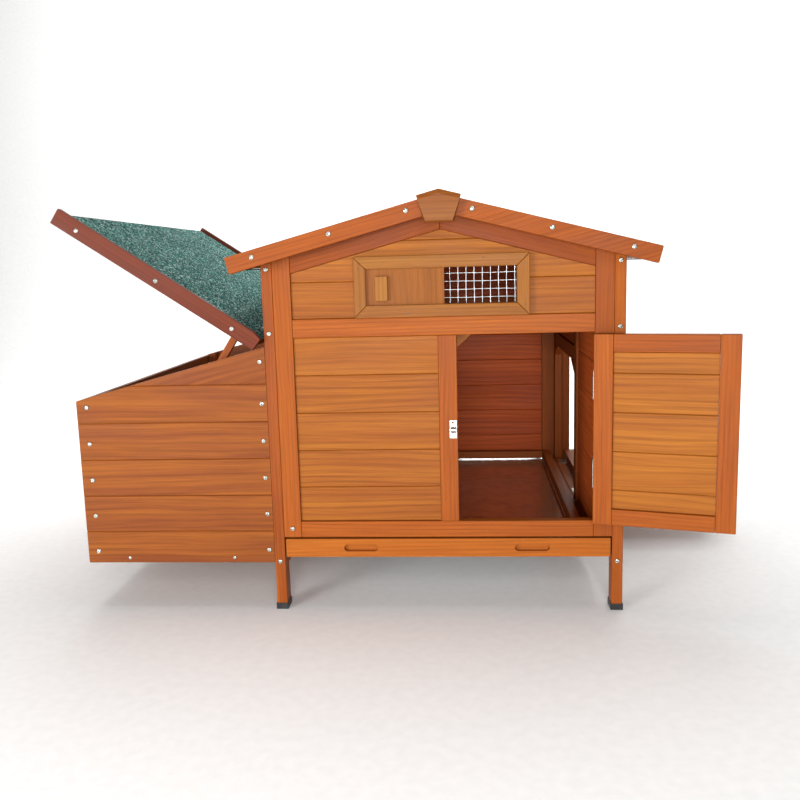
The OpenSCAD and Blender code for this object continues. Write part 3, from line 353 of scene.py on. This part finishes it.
@dataclass(frozen=True)
class CoatedSteel:
    """Steel with a zinc coat: bright, with spangle or rolling marks and a little dullness."""

    name: str
    bright: Hex = "#c4c7c0"
    dull: Hex = "#85887f"
    # size of the zinc crystals
    spangle_mm: float = 3.0
    roughness: float = 0.3

    def make(self) -> bpy.types.Material:
        """Build the node material from crystals, each with its own brightness."""
        material, tree, shader = new_material(self.name)
        place = add_node(tree, "ShaderNodeTexCoord")
        cells = add_node(tree, "ShaderNodeTexVoronoi",
                         {"Vector": place.outputs["Object"], "Scale": 1.0 / (self.spangle_mm * MM)})
        value = add_node(tree, "ShaderNodeSeparateColor", {0: cells.outputs["Color"]})
        cloud = add_node(tree, "ShaderNodeTexNoise",
                         {"Vector": place.outputs["Object"], "Scale": 60.0, "Detail": 5.0})
        both = add_node(tree, "ShaderNodeMath", {0: value.outputs[0], 1: 0.35, 2: cloud.outputs[0]},
                        operation="MULTIPLY_ADD")
        colour = add_node(tree, "ShaderNodeValToRGB", {0: both.outputs[0]})
        set_ramp(colour, [(0.3, self.dull), (0.85, self.bright)])
        tree.links.new(colour.outputs[0], shader.inputs["Base Color"])
        gloss = add_node(tree, "ShaderNodeMapRange",
                         {"Value": both.outputs[0], "From Min": 0.3, "From Max": 0.9,
                          "To Min": self.roughness + 0.08, "To Max": self.roughness - 0.05})
        tree.links.new(gloss.outputs[0], shader.inputs["Roughness"])
        shader.inputs["Metallic"].default_value = 1.0
        bump = add_node(tree, "ShaderNodeBump",
                        {"Height": cloud.outputs[0], "Strength": 0.12, "Distance": 0.2 * MM})
        tree.links.new(bump.outputs[0], shader.inputs["Normal"])
        return material


@dataclass(frozen=True)
class MouldedPlastic:
    """Black polypropylene from a spark-finished mould.

    The eye reads an even fine texture with a low sheen and dusty scuffs.
    """

    name: str = "moulded black polypropylene"
    black: Hex = "#141516"
    scuff: Hex = "#2c2d2e"

    def make(self) -> bpy.types.Material:
        """Build the node material from mould texture and scuffs."""
        material, tree, shader = new_material(self.name)
        place = add_node(tree, "ShaderNodeTexCoord")
        fine = add_node(tree, "ShaderNodeTexNoise",
                        {"Vector": place.outputs["Object"], "Scale": 1400.0, "Detail": 2.0})
        worn = add_node(tree, "ShaderNodeTexNoise",
                        {"Vector": place.outputs["Object"], "Scale": 90.0, "Detail": 5.0})
        colour = add_node(tree, "ShaderNodeValToRGB", {0: worn.outputs[0]})
        set_ramp(colour, [(0.45, self.black), (0.75, self.scuff)])
        tree.links.new(colour.outputs[0], shader.inputs["Base Color"])
        gloss = add_node(tree, "ShaderNodeMapRange",
                         {"Value": worn.outputs[0], "To Min": 0.38, "To Max": 0.62})
        tree.links.new(gloss.outputs[0], shader.inputs["Roughness"])
        bump = add_node(tree, "ShaderNodeBump",
                        {"Height": fine.outputs[0], "Strength": 0.3, "Distance": 0.1 * MM})
        tree.links.new(bump.outputs[0], shader.inputs["Normal"])
        return material


class Finish(Enum):
    """Each finish on the hutch: the record's slot that it belongs to, and its kind."""

    FIR = ("fir_frame", "batten")
    DARK_RED = ("fir_frame", "dark_red batten")
    PLANK = ("fir_planks", "plank")
    HONEY = ("honey_wood", "pine")
    PLY = ("plywood", "birch")
    FELT = ("green_felt", "granules")
    ZINC = ("zinc", "plate")
    BRAD = ("zinc", "dull plate")
    WIRE = ("galvanised_wire", "wire")
    SHEET = ("galvanised_sheet", "sheet")
    PLASTIC = ("black_plastic", "moulding")


class Finishes:
    """Makes each finish once and hands it out."""

    def __init__(self) -> None:
        """Build every material the hutch needs."""
        makers = {
            Finish.FIR: StainedTimber(
                "stained fir batten", red="#7a3614", mid="#9a4d16", pale="#aa5d1a", ring_mm=7.0,
                wander_mm=9.0, line_depth=0.35, knots=0.7, banding=0.8),
            # a darker, redder batten tone for the lid's end boards
            Finish.DARK_RED: StainedTimber(
                "dark red stained fir batten", red="#562316", mid="#6a2e1a", pale="#7d3d21",
                late="#411b11", ring_mm=7.0, wander_mm=9.0, line_depth=0.35, knots=0.4, banding=0.9),
            Finish.PLANK: StainedTimber("stained fir plank"),
            Finish.HONEY: StainedTimber(
                "honey stained pine", red="#824819", mid="#935c24", pale="#a36d31", late="#643612",
                ring_mm=8.0, line_depth=0.4, knots=0.5, banding=0.9),
            Finish.PLY: StainedTimber(
                "stained birch plywood", red="#7a441f", mid="#8e5425", pale="#9a6430", late="#67371b",
                ring_mm=26.0, wander_mm=30.0, line_depth=0.3, knots=0.0, banding=0.8, roughness=0.55),
            Finish.FELT: MineralFelt(),
            Finish.ZINC: CoatedSteel("zinc plated steel"),
            Finish.BRAD: CoatedSteel(
                "dull zinc plated steel", bright="#6e6a64", dull="#4a463f", roughness=0.5),
            Finish.WIRE: CoatedSteel(
                "galvanised wire", bright="#eceeef", dull="#c4c7c8", roughness=0.42),
            Finish.SHEET: CoatedSteel(
                "galvanised sheet", bright="#c8c9ca", dull="#a5a7a8", spangle_mm=14.0, roughness=0.17),
            Finish.PLASTIC: MouldedPlastic(),
        }
        self.materials = {key: maker.make() for key, maker in makers.items()}

    def dress(self, piece: bpy.types.Object, finish: Finish) -> None:
        """Put a finish on a piece."""
        piece.data.materials.clear()
        piece.data.materials.append(self.materials[finish])


# --------------------------------------------------------------- shapes


def weld(points: np.ndarray, corners: np.ndarray) -> Tuple[np.ndarray, np.ndarray]:
    """Join points that lie within a hundredth of a millimetre.

    Args:
        points: one row per loose point, in metres.
        corners: one row of three point numbers per triangle.

    Returns:
        The joined points and the triangles that use them.
    """
    keys = np.round(points / WELD).astype(np.int64)
    _, first, back = np.unique(keys, axis=0, return_index=True, return_inverse=True)
    faces = back.reshape(-1)[corners]
    good = (faces[:, 0] != faces[:, 1]) & (faces[:, 1] != faces[:, 2]) & (faces[:, 0] != faces[:, 2])
    return points[first], faces[good]


def boards_of(count: int, faces: np.ndarray) -> np.ndarray:
    """Number each connected solid: every point takes the lowest point number it can reach.

    Args:
        count: how many points there are.
        faces: triangles as point numbers.

    Returns:
        For each point, the number of its solid.
    """
    label = np.arange(count)
    edges = np.concatenate([faces[:, [0, 1]], faces[:, [1, 2]], faces[:, [2, 0]]])
    while True:
        low = np.minimum(label[edges[:, 0]], label[edges[:, 1]])
        new = label.copy()
        np.minimum.at(new, edges[:, 0], low)
        np.minimum.at(new, edges[:, 1], low)
        new = new[new]
        if np.array_equal(new, label):
            return label
        label = new


def node_arrays(node: str) -> Tuple[np.ndarray, np.ndarray]:
    """Read a CAD node's welded points and triangles."""
    data = frame["nodes"][node].data
    points = np.empty(len(data.vertices) * 3)
    data.vertices.foreach_get("co", points)
    corners = np.empty(len(data.loops), dtype=np.int64)
    data.loops.foreach_get("vertex_index", corners)
    return weld(points.reshape(-1, 3), corners.reshape(-1, 3))


def grid_faces(rows: int, cols: int, closed: bool = True) -> np.ndarray:
    """Number the quads of a grid of points.

    Args:
        rows: rows of points.
        cols: points in a row.
        closed: whether each row is a ring.

    Returns:
        One row of four point numbers per quad.
    """
    i, j = np.meshgrid(np.arange(rows - 1), np.arange(cols if closed else cols - 1), indexing="ij")
    k = (j + 1) % cols
    return np.stack([i * cols + j, i * cols + k, (i + 1) * cols + k, (i + 1) * cols + j], -1).reshape(-1, 4)


def new_piece(name: str, points: np.ndarray, faces: Sequence[Sequence[int]],
              smooth: bool = True) -> bpy.types.Object:
    """Make a mesh piece at the origin from points in metres.

    Args:
        name: the piece's name.
        points: one row per point.
        faces: point numbers of each face.
        smooth: whether its faces are shaded smooth.

    Returns:
        The new object.
    """
    mesh = bpy.data.meshes.new(name)
    mesh.from_pydata(points.tolist(), [], [list(map(int, face)) for face in faces])
    mesh.validate()
    mesh.polygons.foreach_set("use_smooth", [smooth] * len(mesh.polygons))
    piece = bpy.data.objects.new(name, mesh)
    bpy.context.scene.collection.objects.link(piece)
    return piece


def soften(piece: bpy.types.Object, width_mm: float, segments: int = 2, angle: float = 30.0) -> None:
    """Round a piece's arrises, and let its broad faces keep their own shading.

    Args:
        piece: the piece to finish.
        width_mm: how far the rounding reaches in from an edge.
        segments: steps in the rounding.
        angle: edges sharper than this many degrees are rounded.
    """
    bevel = piece.modifiers.new("arris", "BEVEL")
    bevel.width = width_mm * MM
    bevel.segments = segments
    bevel.limit_method = "ANGLE"
    bevel.angle_limit = math.radians(angle)
    bevel.use_clamp_overlap = True
    normals = piece.modifiers.new("shading", "WEIGHTED_NORMAL")
    normals.weight = 60


def middle_of_house() -> np.ndarray:
    """Give the middle of the space between the four posts."""
    return (np.array(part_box("front_posts")[0]) + np.array(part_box("rear_posts")[1])) / 2.0


@dataclass
class SolidCopy:
    """A welded copy of a CAD node with true n-sided faces and rounded arrises."""

    node: str
    finish: Finish
    arris_mm: float
    # lowest and highest tone of its boards, from red to pale: mostly the stain, and on the gable rails also
    # painted shadow
    tone: Tuple[float, float] = (0.25, 0.6)
    seed: int = 1
    segments: int = 2
    angle: float = 30.0
    # the grain of a sheet may run across its length
    crosswise: bool = False
    # whether its faces inside the house take the painted interior light
    paints_inside_light: bool = False
    # a face is inside when the middle of the house is this far in front of it, in metres
    depth_inside: float = 0.14

    def build(self, finishes: Finishes) -> bpy.types.Object:
        """Make the piece, map its boards and put it in the node's place.

        Args:
            finishes: where its material comes from.

        Returns:
            The new piece.
        """
        points, faces = node_arrays(self.node)
        piece = new_piece(self.node + "_finished", points, faces)
        shape = bmesh.new()
        shape.from_mesh(piece.data)
        bmesh.ops.dissolve_limit(shape, angle_limit=FLAT, verts=shape.verts, edges=shape.edges)
        shape.to_mesh(piece.data)
        shape.free()
        self.map_boards(piece.data)
        soften(piece, self.arris_mm, self.segments, self.angle)
        finishes.dress(piece, self.finish)
        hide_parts(self.node)
        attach(piece, frame["nodes"][self.node]["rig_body"])
        log.info("%s: %d faces from %s", piece.name, len(piece.data.polygons), self.node)
        return piece

    def map_boards(self, mesh: bpy.types.Mesh) -> None:
        """Lay a map in metres on each board, with its length along U, and write its four marks.

        The marks are the board's tone, its seed, its ends and its faces inside the house.

        The board's length is the direction of its longest edge, and its breadth lies in its widest face.
        A face takes the two board directions that it lies in. A corner's U is its distance along the board,
        and V its distance across, each moved by an amount of the board's own.

        Args:
            mesh: the welded mesh.
        """
        count = len(mesh.vertices)
        points = np.empty(count * 3)
        mesh.vertices.foreach_get("co", points)
        points = points.reshape(-1, 3)
        edges = np.empty(len(mesh.edges) * 2, dtype=np.int64)
        mesh.edges.foreach_get("vertices", edges)
        edges = edges.reshape(-1, 2)
        label = boards_of(count, np.column_stack([edges, edges[:, 1]]))
        total = len(mesh.polygons)
        normals = np.empty(total * 3)
        mesh.polygons.foreach_get("normal", normals)
        normals = normals.reshape(-1, 3)
        areas = np.empty(total)
        mesh.polygons.foreach_get("area", areas)
        sides = np.empty(total, dtype=np.int64)
        mesh.polygons.foreach_get("loop_total", sides)
        corner_point = np.empty(len(mesh.loops), dtype=np.int64)
        mesh.loops.foreach_get("vertex_index", corner_point)
        corner_face = np.repeat(np.arange(total), sides)
        face_label = label[corner_point[np.concatenate([[0], np.cumsum(sides)[:-1]])]]
        corner_label = label[corner_point]
        maps = np.zeros((len(mesh.loops), 2))
        board = np.zeros((len(mesh.loops), 4))
        inwards = middle_of_house() - points[corner_point]
        rng = np.random.default_rng(self.seed * 7919 + len(self.node))
        span = points[edges[:, 1]] - points[edges[:, 0]]
        length = np.linalg.norm(span, axis=1)
        for mark in np.unique(label):
            own = np.where(label[edges[:, 0]] == mark)[0]
            longest = own[np.argmax(length[own])]
            u = span[longest] / length[longest]
            mine = np.where(face_label == mark)[0]
            flat = np.abs(normals[mine] @ u) < 0.3
            broad = mine[flat][np.argmax(areas[mine][flat])] if flat.any() else mine[0]
            w = normals[broad] - u * (normals[broad] @ u)
            w /= max(np.linalg.norm(w), 1e-9)
            v = np.cross(w, u)
            here = np.where(corner_label == mark)[0]
            middle = points[label == mark].mean(0)
            local = (points[corner_point[here]] - middle) @ np.stack([u, v, w], 1)
            turn = np.abs(normals[corner_face[here]] @ np.stack([u, v, w], 1))
            side = turn.argmax(1)
            shift = rng.uniform(-3.0, 3.0, 2)
            maps[here, 0] = np.where(side == 0, local[:, 2], local[:, 0]) + shift[0]
            maps[here, 1] = np.where(side == 1, local[:, 2] + 0.31, local[:, 1]) + shift[1]
            board[here, 0] = rng.uniform(*self.tone)
            board[here, 1] = rng.uniform(0.0, 1.0)
            board[here, 2] = side == 0
            # faces inside the house are marked for the painted interior light
            faces_in = (inwards[here] * normals[corner_face[here]]).sum(1) > self.depth_inside
            board[here, 3] = self.paints_inside_light * faces_in
        layer = mesh.uv_layers.new(name="boards")
        layer.data.foreach_set("uv", (maps[:, ::-1] if self.crosswise else maps).ravel())
        colours = mesh.color_attributes.new("board", "FLOAT_COLOR", "CORNER")
        colours.data.foreach_set("color", board.ravel())


def screw_cups(centres: np.ndarray, outward: np.ndarray, radius: float, height: float,
               seed: int) -> Tuple[np.ndarray, np.ndarray]:
    """Work out pan heads with a cross recess, one at each centre.

    Each head is a polar grid. Its height is a quarter of an ellipse with a flatter top over the radius, less
    a cross whose arms are narrow bands, with soft edges, through the middle. Each cross is turned by its own
    angle.

    Args:
        centres: middle of each head's seat, in metres.
        outward: unit direction out of each head, along plus or minus Y.
        radius: head radius in metres.
        height: head height in metres.
        seed: fixes the turn of each cross.

    Returns:
        Points and quads of all heads.
    """
    spokes = 32
    r = np.concatenate([[0.02], np.linspace(0.12, 0.7, 6), [0.8, 0.92, 1.0, 1.0]])
    rise = np.sqrt(np.clip(1.0 - r**2.6, 0.0, 1.0))
    rise[-1] = -0.35
    a = np.linspace(0.0, 2.0 * np.pi, spokes, endpoint=False)
    rr, aa = np.meshgrid(r, a, indexing="ij")
    x, z = rr * np.cos(aa), rr * np.sin(aa)
    arm = np.minimum(np.abs(x), np.abs(z))
    cross = np.clip((0.17 - arm) / 0.08, 0.0, 1.0) * np.clip((0.62 - rr) / 0.1, 0.0, 1.0)
    y = rise[:, None] - 0.75 * cross
    turn = np.random.default_rng(seed).uniform(0.0, 2.0 * np.pi, len(centres))
    c, s = np.cos(turn)[:, None, None], np.sin(turn)[:, None, None]
    px = (x * c - z * s) * radius
    pz = (x * s + z * c) * radius
    py = np.broadcast_to(y * height, px.shape) * outward[:, 1][:, None, None]
    flip = outward[:, 1][:, None, None]
    points = np.stack([px * flip, py, pz], -1) + centres[:, None, None, :]
    quads = grid_faces(len(r), spokes)
    step = len(r) * spokes
    caps = np.arange(len(centres))[:, None, None] * step
    return points.reshape(-1, 3), (quads[None] + caps).reshape(-1, 4)


def tube(paths: np.ndarray, radius: float, sides: int) -> Tuple[np.ndarray, np.ndarray]:
    """Carry a ring along each path.

    A ring's points are the path's point plus the radius times the cosine of the angle along one direction
    square to the path and the sine along the other.

    Args:
        paths: wire, point along it, and place.
        radius: tube radius in metres.
        sides: points in a ring.

    Returns:
        Points and quads of all tubes.
    """
    run = paths[:, -1] - paths[:, 0]
    run /= np.linalg.norm(run, axis=1)[:, None]
    side = np.cross(run, np.array([0.0, 1.0, 0.0]))
    other = np.cross(run, side)
    a = np.linspace(0.0, 2.0 * np.pi, sides, endpoint=False)
    ring = side[:, None, :] * np.cos(a)[None, :, None] + other[:, None, :] * np.sin(a)[None, :, None]
    points = paths[:, :, None, :] + radius * ring[:, None, :, :]
    quads = grid_faces(paths.shape[1], sides)
    step = paths.shape[1] * sides
    return points.reshape(-1, 3), (quads[None] + np.arange(len(paths))[:, None, None] * step).reshape(-1, 4)


# --------------------------------------------------------------- sub-assemblies


@dataclass
class Joinery:
    """All boards, battens and posts, each with its arris and its range of tones, mostly of the stain."""

    batten_arris: float = 1.3
    plank_arris: float = 0.5
    block_arris: float = 1.6

    def pieces(self) -> List[SolidCopy]:
        """List every timber node with its finish and tone."""
        fir, plank, honey, ply = Finish.FIR, Finish.PLANK, Finish.HONEY, Finish.PLY
        b, p, k = self.batten_arris, self.plank_arris, self.block_arris
        return [
            SolidCopy("front_posts", fir, b, (0.32, 0.5), 1),
            SolidCopy("rear_posts", fir, b, (0.3, 0.5), 2),
            SolidCopy("front_stiles", fir, b, (0.34, 0.5), 3),
            SolidCopy("front_rails", fir, b, (0.45, 0.6), 4),
            SolidCopy("centre_stile", fir, b, (0.38, 0.42), 5),
            # their low, dark red tone is partly the stain and partly painted shadow from the roof's edge
            # above
            SolidCopy("front_gable_rails", fir, b, (0.1, 0.2), 6),
            SolidCopy("front_panel_planks", plank, p, (0.45, 0.68), 7),
            SolidCopy("front_gable_planks", plank, p, (0.6, 0.85), 8),
            SolidCopy("window_frame", honey, b, (0.35, 0.65), 9),
            SolidCopy("door_stop_block", ply, 0.4, (0.3, 0.5), 10),
            SolidCopy("back_frame", fir, b, (0.25, 0.45), 11),
            SolidCopy("back_planks", plank, p, (0.25, 0.45), 12, paints_inside_light=True),
            SolidCopy("left_wall_frame", fir, b, (0.25, 0.45), 13),
            SolidCopy("left_wall_planks", plank, p, (0.25, 0.5), 14),
            SolidCopy("right_wall_frame", fir, b, (0.25, 0.45), 15),
            SolidCopy("right_wall_planks", plank, p, (0.5, 0.7), 16, paints_inside_light=True),
            SolidCopy("ridge_beam", fir, b, (0.3, 0.4), 17),
            SolidCopy("tray_runners", fir, b, (0.3, 0.5), 18),
            SolidCopy("roof_boards", plank, p, (0.25, 0.45), 19),
            SolidCopy("fascia_boards", fir, b, (0.35, 0.5), 20),
            SolidCopy("ridge_keystones", honey, k, (0.0, 0.1), 21, 3, 12.0),
            # a darker, redder tone than the house's front planks
            SolidCopy("nest_front_planks", plank, p, (0.2, 0.42), 22),
            SolidCopy("nest_back_planks", plank, p, (0.25, 0.45), 23),
            SolidCopy("nest_outer_planks", plank, p, (0.25, 0.5), 24),
            SolidCopy("nest_battens", fir, b, (0.25, 0.45), 25),
            SolidCopy("nest_floor", ply, 0.5, (0.3, 0.5), 26),
            SolidCopy("nest_divider", ply, 0.5, (0.3, 0.5), 27),
            SolidCopy("pop_door_rest", fir, b, (0.3, 0.4), 28),
            SolidCopy("door_frame", fir, b, (0.4, 0.6), 29),
            SolidCopy("door_planks", plank, p, (0.65, 0.9), 30),
            SolidCopy("lid_boards", plank, p, (0.25, 0.45), 31),
            SolidCopy("lid_end_boards", Finish.DARK_RED, b, (0.3, 0.5), 32),
            SolidCopy("lid_battens", fir, b, (0.25, 0.45), 33),
            SolidCopy("lid_prop", fir, 1.2, (0.3, 0.4), 34),
            SolidCopy("shutter_panel", ply, 0.4, (0.35, 0.5), 35, crosswise=True),
            SolidCopy("shutter_handle", honey, 1.2, (0.5, 0.7), 36),
            SolidCopy("tray_front", fir, 0.9, (0.8, 0.9), 37),
            SolidCopy("tray_sides", fir, b, (0.3, 0.5), 38),
            SolidCopy("pop_door_frame", fir, b, (0.3, 0.5), 39),
            SolidCopy("pop_door_planks", plank, p, (0.3, 0.55), 40),
            SolidCopy("turn_button", fir, 1.2, (0.35, 0.45), 41),
        ]

    def build(self, finishes: Finishes) -> None:
        """Make every timber piece."""
        for copy in self.pieces():
            copy.build(finishes)


@dataclass
class Ironmongery:
    """Hinges, bolt, roof angles and the tray's metal pan, with deburred edges."""

    deburr: float = 0.25

    def build(self, finishes: Finishes) -> None:
        """Make every metal or plastic piece that keeps its CAD shape."""
        zinc = Finish.ZINC
        plates = ("roof_brackets", "door_hinge_jamb_leaves", "door_hinge_door_leaves",
                  "lid_hinge_wall_leaves", "lid_hinge_lid_leaves", "pop_hinge_sill_leaves",
                  "pop_hinge_door_leaves", "bolt_keeper", "bolt_plate", "bolt_rod", "button_screw")
        for seed, node in enumerate(plates):
            SolidCopy(node, zinc, self.deburr, seed=seed, angle=40.0).build(finishes)
        SolidCopy("tray_pan", Finish.SHEET, 0.45, seed=60).build(finishes)
        SolidCopy("foot_caps", Finish.PLASTIC, 0.55, seed=61, segments=3).build(finishes)


@dataclass
class FeltSheets:
    """Roofing felt on the roof and the nest box lid."""

    fold_mm: float = 0.9

    def build(self, finishes: Finishes) -> None:
        """Make both sheets from their CAD shapes with rolled edges."""
        SolidCopy("roof_felt", Finish.FELT, self.fold_mm, seed=50, segments=3).build(finishes)
        SolidCopy("lid_felt", Finish.FELT, self.fold_mm * 0.5, seed=51).build(finishes)


@dataclass
class Screws:
    """Pan head screws in the posts, fascias, nest box and lid."""

    radius: float = 4.0 * MM
    height: float = 1.6 * MM

    def build(self, finishes: Finishes) -> None:
        """Set one detailed head over each plain one."""
        for seed, node in enumerate(("frame_screws", "nest_screws", "lid_screws")):
            points, faces = node_arrays(node)
            label = boards_of(len(points), faces)
            marks = np.unique(label)
            low = np.array([points[label == mark].min(0) for mark in marks])
            high = np.array([points[label == mark].max(0) for mark in marks])
            middle = (low + high) / 2.0
            house = (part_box("front_posts")[0].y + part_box("rear_posts")[1].y) / 2.0
            sign = np.where(middle[:, 1] < house, -1.0, 1.0)
            seat = middle.copy()
            seat[:, 1] = np.where(sign < 0, high[:, 1], low[:, 1]) + sign * 0.3 * MM
            outward = np.zeros_like(seat)
            outward[:, 1] = sign
            size = (high[:, 0] - low[:, 0]) / 2.0
            sets = [np.where(np.abs(size - s) < 0.3 * MM)[0] for s in np.unique(np.round(size, 4))]
            shape: List[np.ndarray] = []
            quads: List[np.ndarray] = []
            start = 0
            for own in sets:
                scale = float(size[own].mean() / self.radius)
                p, q = screw_cups(seat[own], outward[own], self.radius * scale, self.height * scale,
                                  seed * 10 + len(own))
                shape.append(p)
                quads.append(q + start)
                start += len(p)
            piece = new_piece(node + "_finished", np.concatenate(shape), np.concatenate(quads))
            finishes.dress(piece, Finish.ZINC)
            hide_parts(node)
            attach(piece, frame["nodes"][node]["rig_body"])
            log.info("%s: %d heads", piece.name, len(marks))


@dataclass
class WindowMesh:
    """Welded wire behind the open half of the window."""

    pitch: float = 13.0 * MM
    wire: float = 1.0 * MM
    inset: float = 5.0 * MM
    ripple: float = 0.22 * MM

    def build(self, finishes: Finishes) -> None:
        """Carry a round section along each wire, which ripples a little between its welds."""
        low, high = (np.array(corner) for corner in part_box("window_mesh"))
        xs = np.arange(low[0] + self.inset, high[0], self.pitch)
        zs = np.arange(low[2] + self.inset, high[2], self.pitch)
        front = low[1] + self.wire / 2.0
        rear = front + self.wire * 0.8
        t = np.linspace(0.0, 1.0, 25)
        rng = np.random.default_rng(5)
        upright = np.zeros((len(xs), len(t), 3))
        upright[:, :, 0] = xs[:, None] + self.ripple * np.sin(
            rng.uniform(0, 6.3, (len(xs), 1)) + t[None] * 7.0)
        upright[:, :, 1] = front
        upright[:, :, 2] = low[2] + t[None] * (high[2] - low[2])
        level = np.zeros((len(zs), len(t), 3))
        level[:, :, 0] = low[0] + t[None] * (high[0] - low[0])
        level[:, :, 1] = rear
        level[:, :, 2] = zs[:, None] + self.ripple * np.sin(
            rng.uniform(0, 6.3, (len(zs), 1)) + t[None] * 9.0)
        a, qa = tube(upright, self.wire / 2.0, 10)
        b, qb = tube(level, self.wire / 2.0, 10)
        piece = new_piece("window_mesh_wires", np.concatenate([a, b]), np.concatenate([qa, qb + len(a)]))
        finishes.dress(piece, Finish.WIRE)
        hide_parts("window_mesh")
        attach(piece, "house")
        log.info("window mesh: %d wires", len(xs) + len(zs))


@dataclass
class BradHeads:
    """Small nail heads punched into the window frame boards."""

    radius: float = 1.1 * MM
    # place of each head as a share of the frame's width and height
    spots: Tuple[Tuple[float, float], ...] = (
        (0.51, 0.97), (0.74, 0.94), (0.285, 0.95), (0.98, 0.82), (0.975, 0.17),
        (0.66, 0.08), (0.3, 0.07), (0.03, 0.2), (0.03, 0.8))

    def build(self, finishes: Finishes) -> None:
        """Set each head a hair above the frame's face."""
        low, high = (np.array(corner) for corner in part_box("window_frame"))
        spots = np.array(self.spots)
        seat = np.column_stack([low[0] + spots[:, 0] * (high[0] - low[0]),
                               np.full(len(spots), low[1] - 0.05 * MM),
                               low[2] + spots[:, 1] * (high[2] - low[2])])
        outward = np.tile([0.0, -1.0, 0.0], (len(spots), 1))
        points, quads = screw_cups(seat, outward, self.radius, 0.25 * MM, 3)
        piece = new_piece("window_brads", points, quads)
        finishes.dress(piece, Finish.BRAD)
        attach(piece, "house")
        log.info("window brads: %d heads", len(spots))


@dataclass
class Studio:
    """Pale floor that curves up behind, soft light, and the camera."""

    # the camera's place, in metres from the floor at the middle of the front
    camera_place: Place = (0.03608, -1.38476, 0.58059)
    # its turn to the left, its tilt up and its roll, in radians
    yaw: float = 0.077062
    pitch: float = -0.156861
    roll: float = 0.027333
    # the lens's length and the frame's width, in one unit
    focal: float = 858.083
    frame_size: float = 800.0
    sensor: float = 36.0
    # each lamp's name, place, the point it faces, its side and its power
    lamps: Tuple[Tuple[str, Place, Place, float, float], ...] = (
        ("key", (0.5, -3.2, 1.6), (0.0, 0.2, 0.3), 0.9, 22.0),
        ("front", (0.1, -3.1, 0.55), (0.1, 0.5, 0.25), 0.7, 42.0),
        ("side", (-1.7, -2.5, 0.5), (0.1, 0.3, 0.25), 0.9, 46.0),
        ("top", (0.0, 0.4, 3.4), (0.0, 0.2, 0.3), 2.6, 58.0),
        ("backdrop", (0.0, 1.7, 2.8), (0.0, 3.8, 1.0), 3.0, 120.0),
    )
    # light the surround gives, and how much brighter it is behind the object
    surround: float = 0.24
    surround_lift: float = 0.72

    def build(self) -> None:
        """Make the floor, the lights and the camera."""
        self.floor()
        self.lights()
        self.camera()

    def floor(self) -> None:
        """Carry a line with a quarter-round bend along X: flat, then up behind the object."""
        bend, back, reach, height, side = 1.2, 2.6, 2.8, 4.5, 3.4
        a = np.linspace(0.0, np.pi / 2.0, 24)
        y = np.concatenate([[-reach], back + bend * np.sin(a), [back + bend]])
        z = np.concatenate([[0.0], bend * (1.0 - np.cos(a)), [height]])
        x = np.array([-side, side])
        points = np.stack([np.broadcast_to(x[None], (len(y), 2)), np.broadcast_to(y[:, None], (len(y), 2)),
                           np.broadcast_to(z[:, None], (len(y), 2))], -1).reshape(-1, 3)
        sheet = new_piece("studio_floor", points, grid_faces(len(y), 2, closed=False))
        material, tree, shader = new_material("matt studio paper")
        place = add_node(tree, "ShaderNodeTexCoord")
        tooth = add_node(tree, "ShaderNodeTexNoise", {"Vector": place.outputs["Object"], "Scale": 60.0})
        colour = add_node(tree, "ShaderNodeValToRGB", {0: tooth.outputs[0]})
        set_ramp(colour, [(0.3, "#f4f4f3"), (0.7, "#f9f9f8")])
        tree.links.new(colour.outputs[0], shader.inputs["Base Color"])
        shader.inputs["Roughness"].default_value = 0.9
        sheet.data.materials.append(material)

    def lights(self) -> None:
        """Hang the soft square lamps in an even surround."""
        for name, place, aim, side, power in self.lamps:
            data = bpy.data.lights.new(name, "AREA")
            data.size = side
            data.energy = power
            light = bpy.data.objects.new(name, data)
            light.location = place
            light.rotation_euler = (Vector(aim) - Vector(place)).to_track_quat("-Z", "Y").to_euler()
            bpy.context.scene.collection.objects.link(light)
        world = bpy.data.worlds.new("surround")
        world.use_nodes = True
        ground = world.node_tree.nodes["Background"]
        ground.inputs[0].default_value = linear("#f6f7f8")
        rays = add_node(world.node_tree, "ShaderNodeLightPath")
        glow = add_node(world.node_tree, "ShaderNodeMath",
                        {0: rays.outputs["Is Camera Ray"], 1: self.surround_lift, 2: self.surround},
                        operation="MULTIPLY_ADD")
        world.node_tree.links.new(glow.outputs[0], ground.inputs[1])
        bpy.context.scene.world = world
        bpy.context.scene.view_settings.view_transform = "Standard"

    def camera(self) -> None:
        """Place the camera: turned left by the yaw, tilted up by the pitch, and rolled."""
        low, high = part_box("front_posts")
        origin = Vector(((low.x + high.x) / 2.0, low.y, 0.0))
        ahead = Vector((-math.sin(self.yaw), math.cos(self.yaw), 0.0))
        right = Vector((math.cos(self.yaw), math.sin(self.yaw), 0.0))
        up = Vector((0.0, 0.0, 1.0))
        look = math.cos(self.pitch) * ahead + math.sin(self.pitch) * up
        rise = -math.sin(self.pitch) * ahead + math.cos(self.pitch) * up
        turned_right = math.cos(self.roll) * right - math.sin(self.roll) * rise
        turned_up = math.sin(self.roll) * right + math.cos(self.roll) * rise
        data = bpy.data.cameras.new("camera")
        data.sensor_width = self.sensor
        data.lens = self.focal / self.frame_size * self.sensor
        data.clip_end = 50.0
        camera = bpy.data.objects.new("camera", data)
        turn = Matrix((turned_right, turned_up, -look)).transposed().to_4x4()
        camera.matrix_world = Matrix.Translation(origin + Vector(self.camera_place)) @ turn
        bpy.context.scene.collection.objects.link(camera)
        bpy.context.scene.camera = camera


def main() -> None:
    """Build the hutch's looks in order."""
    finishes = Finishes()
    Studio().build()
    Joinery().build(finishes)
    Ironmongery().build(finishes)
    FeltSheets().build(finishes)
    Screws().build(finishes)
    WindowMesh().build(finishes)
    BradHeads().build(finishes)
    bpy.context.view_layer.update()


if __name__ == "__main__":
    main()
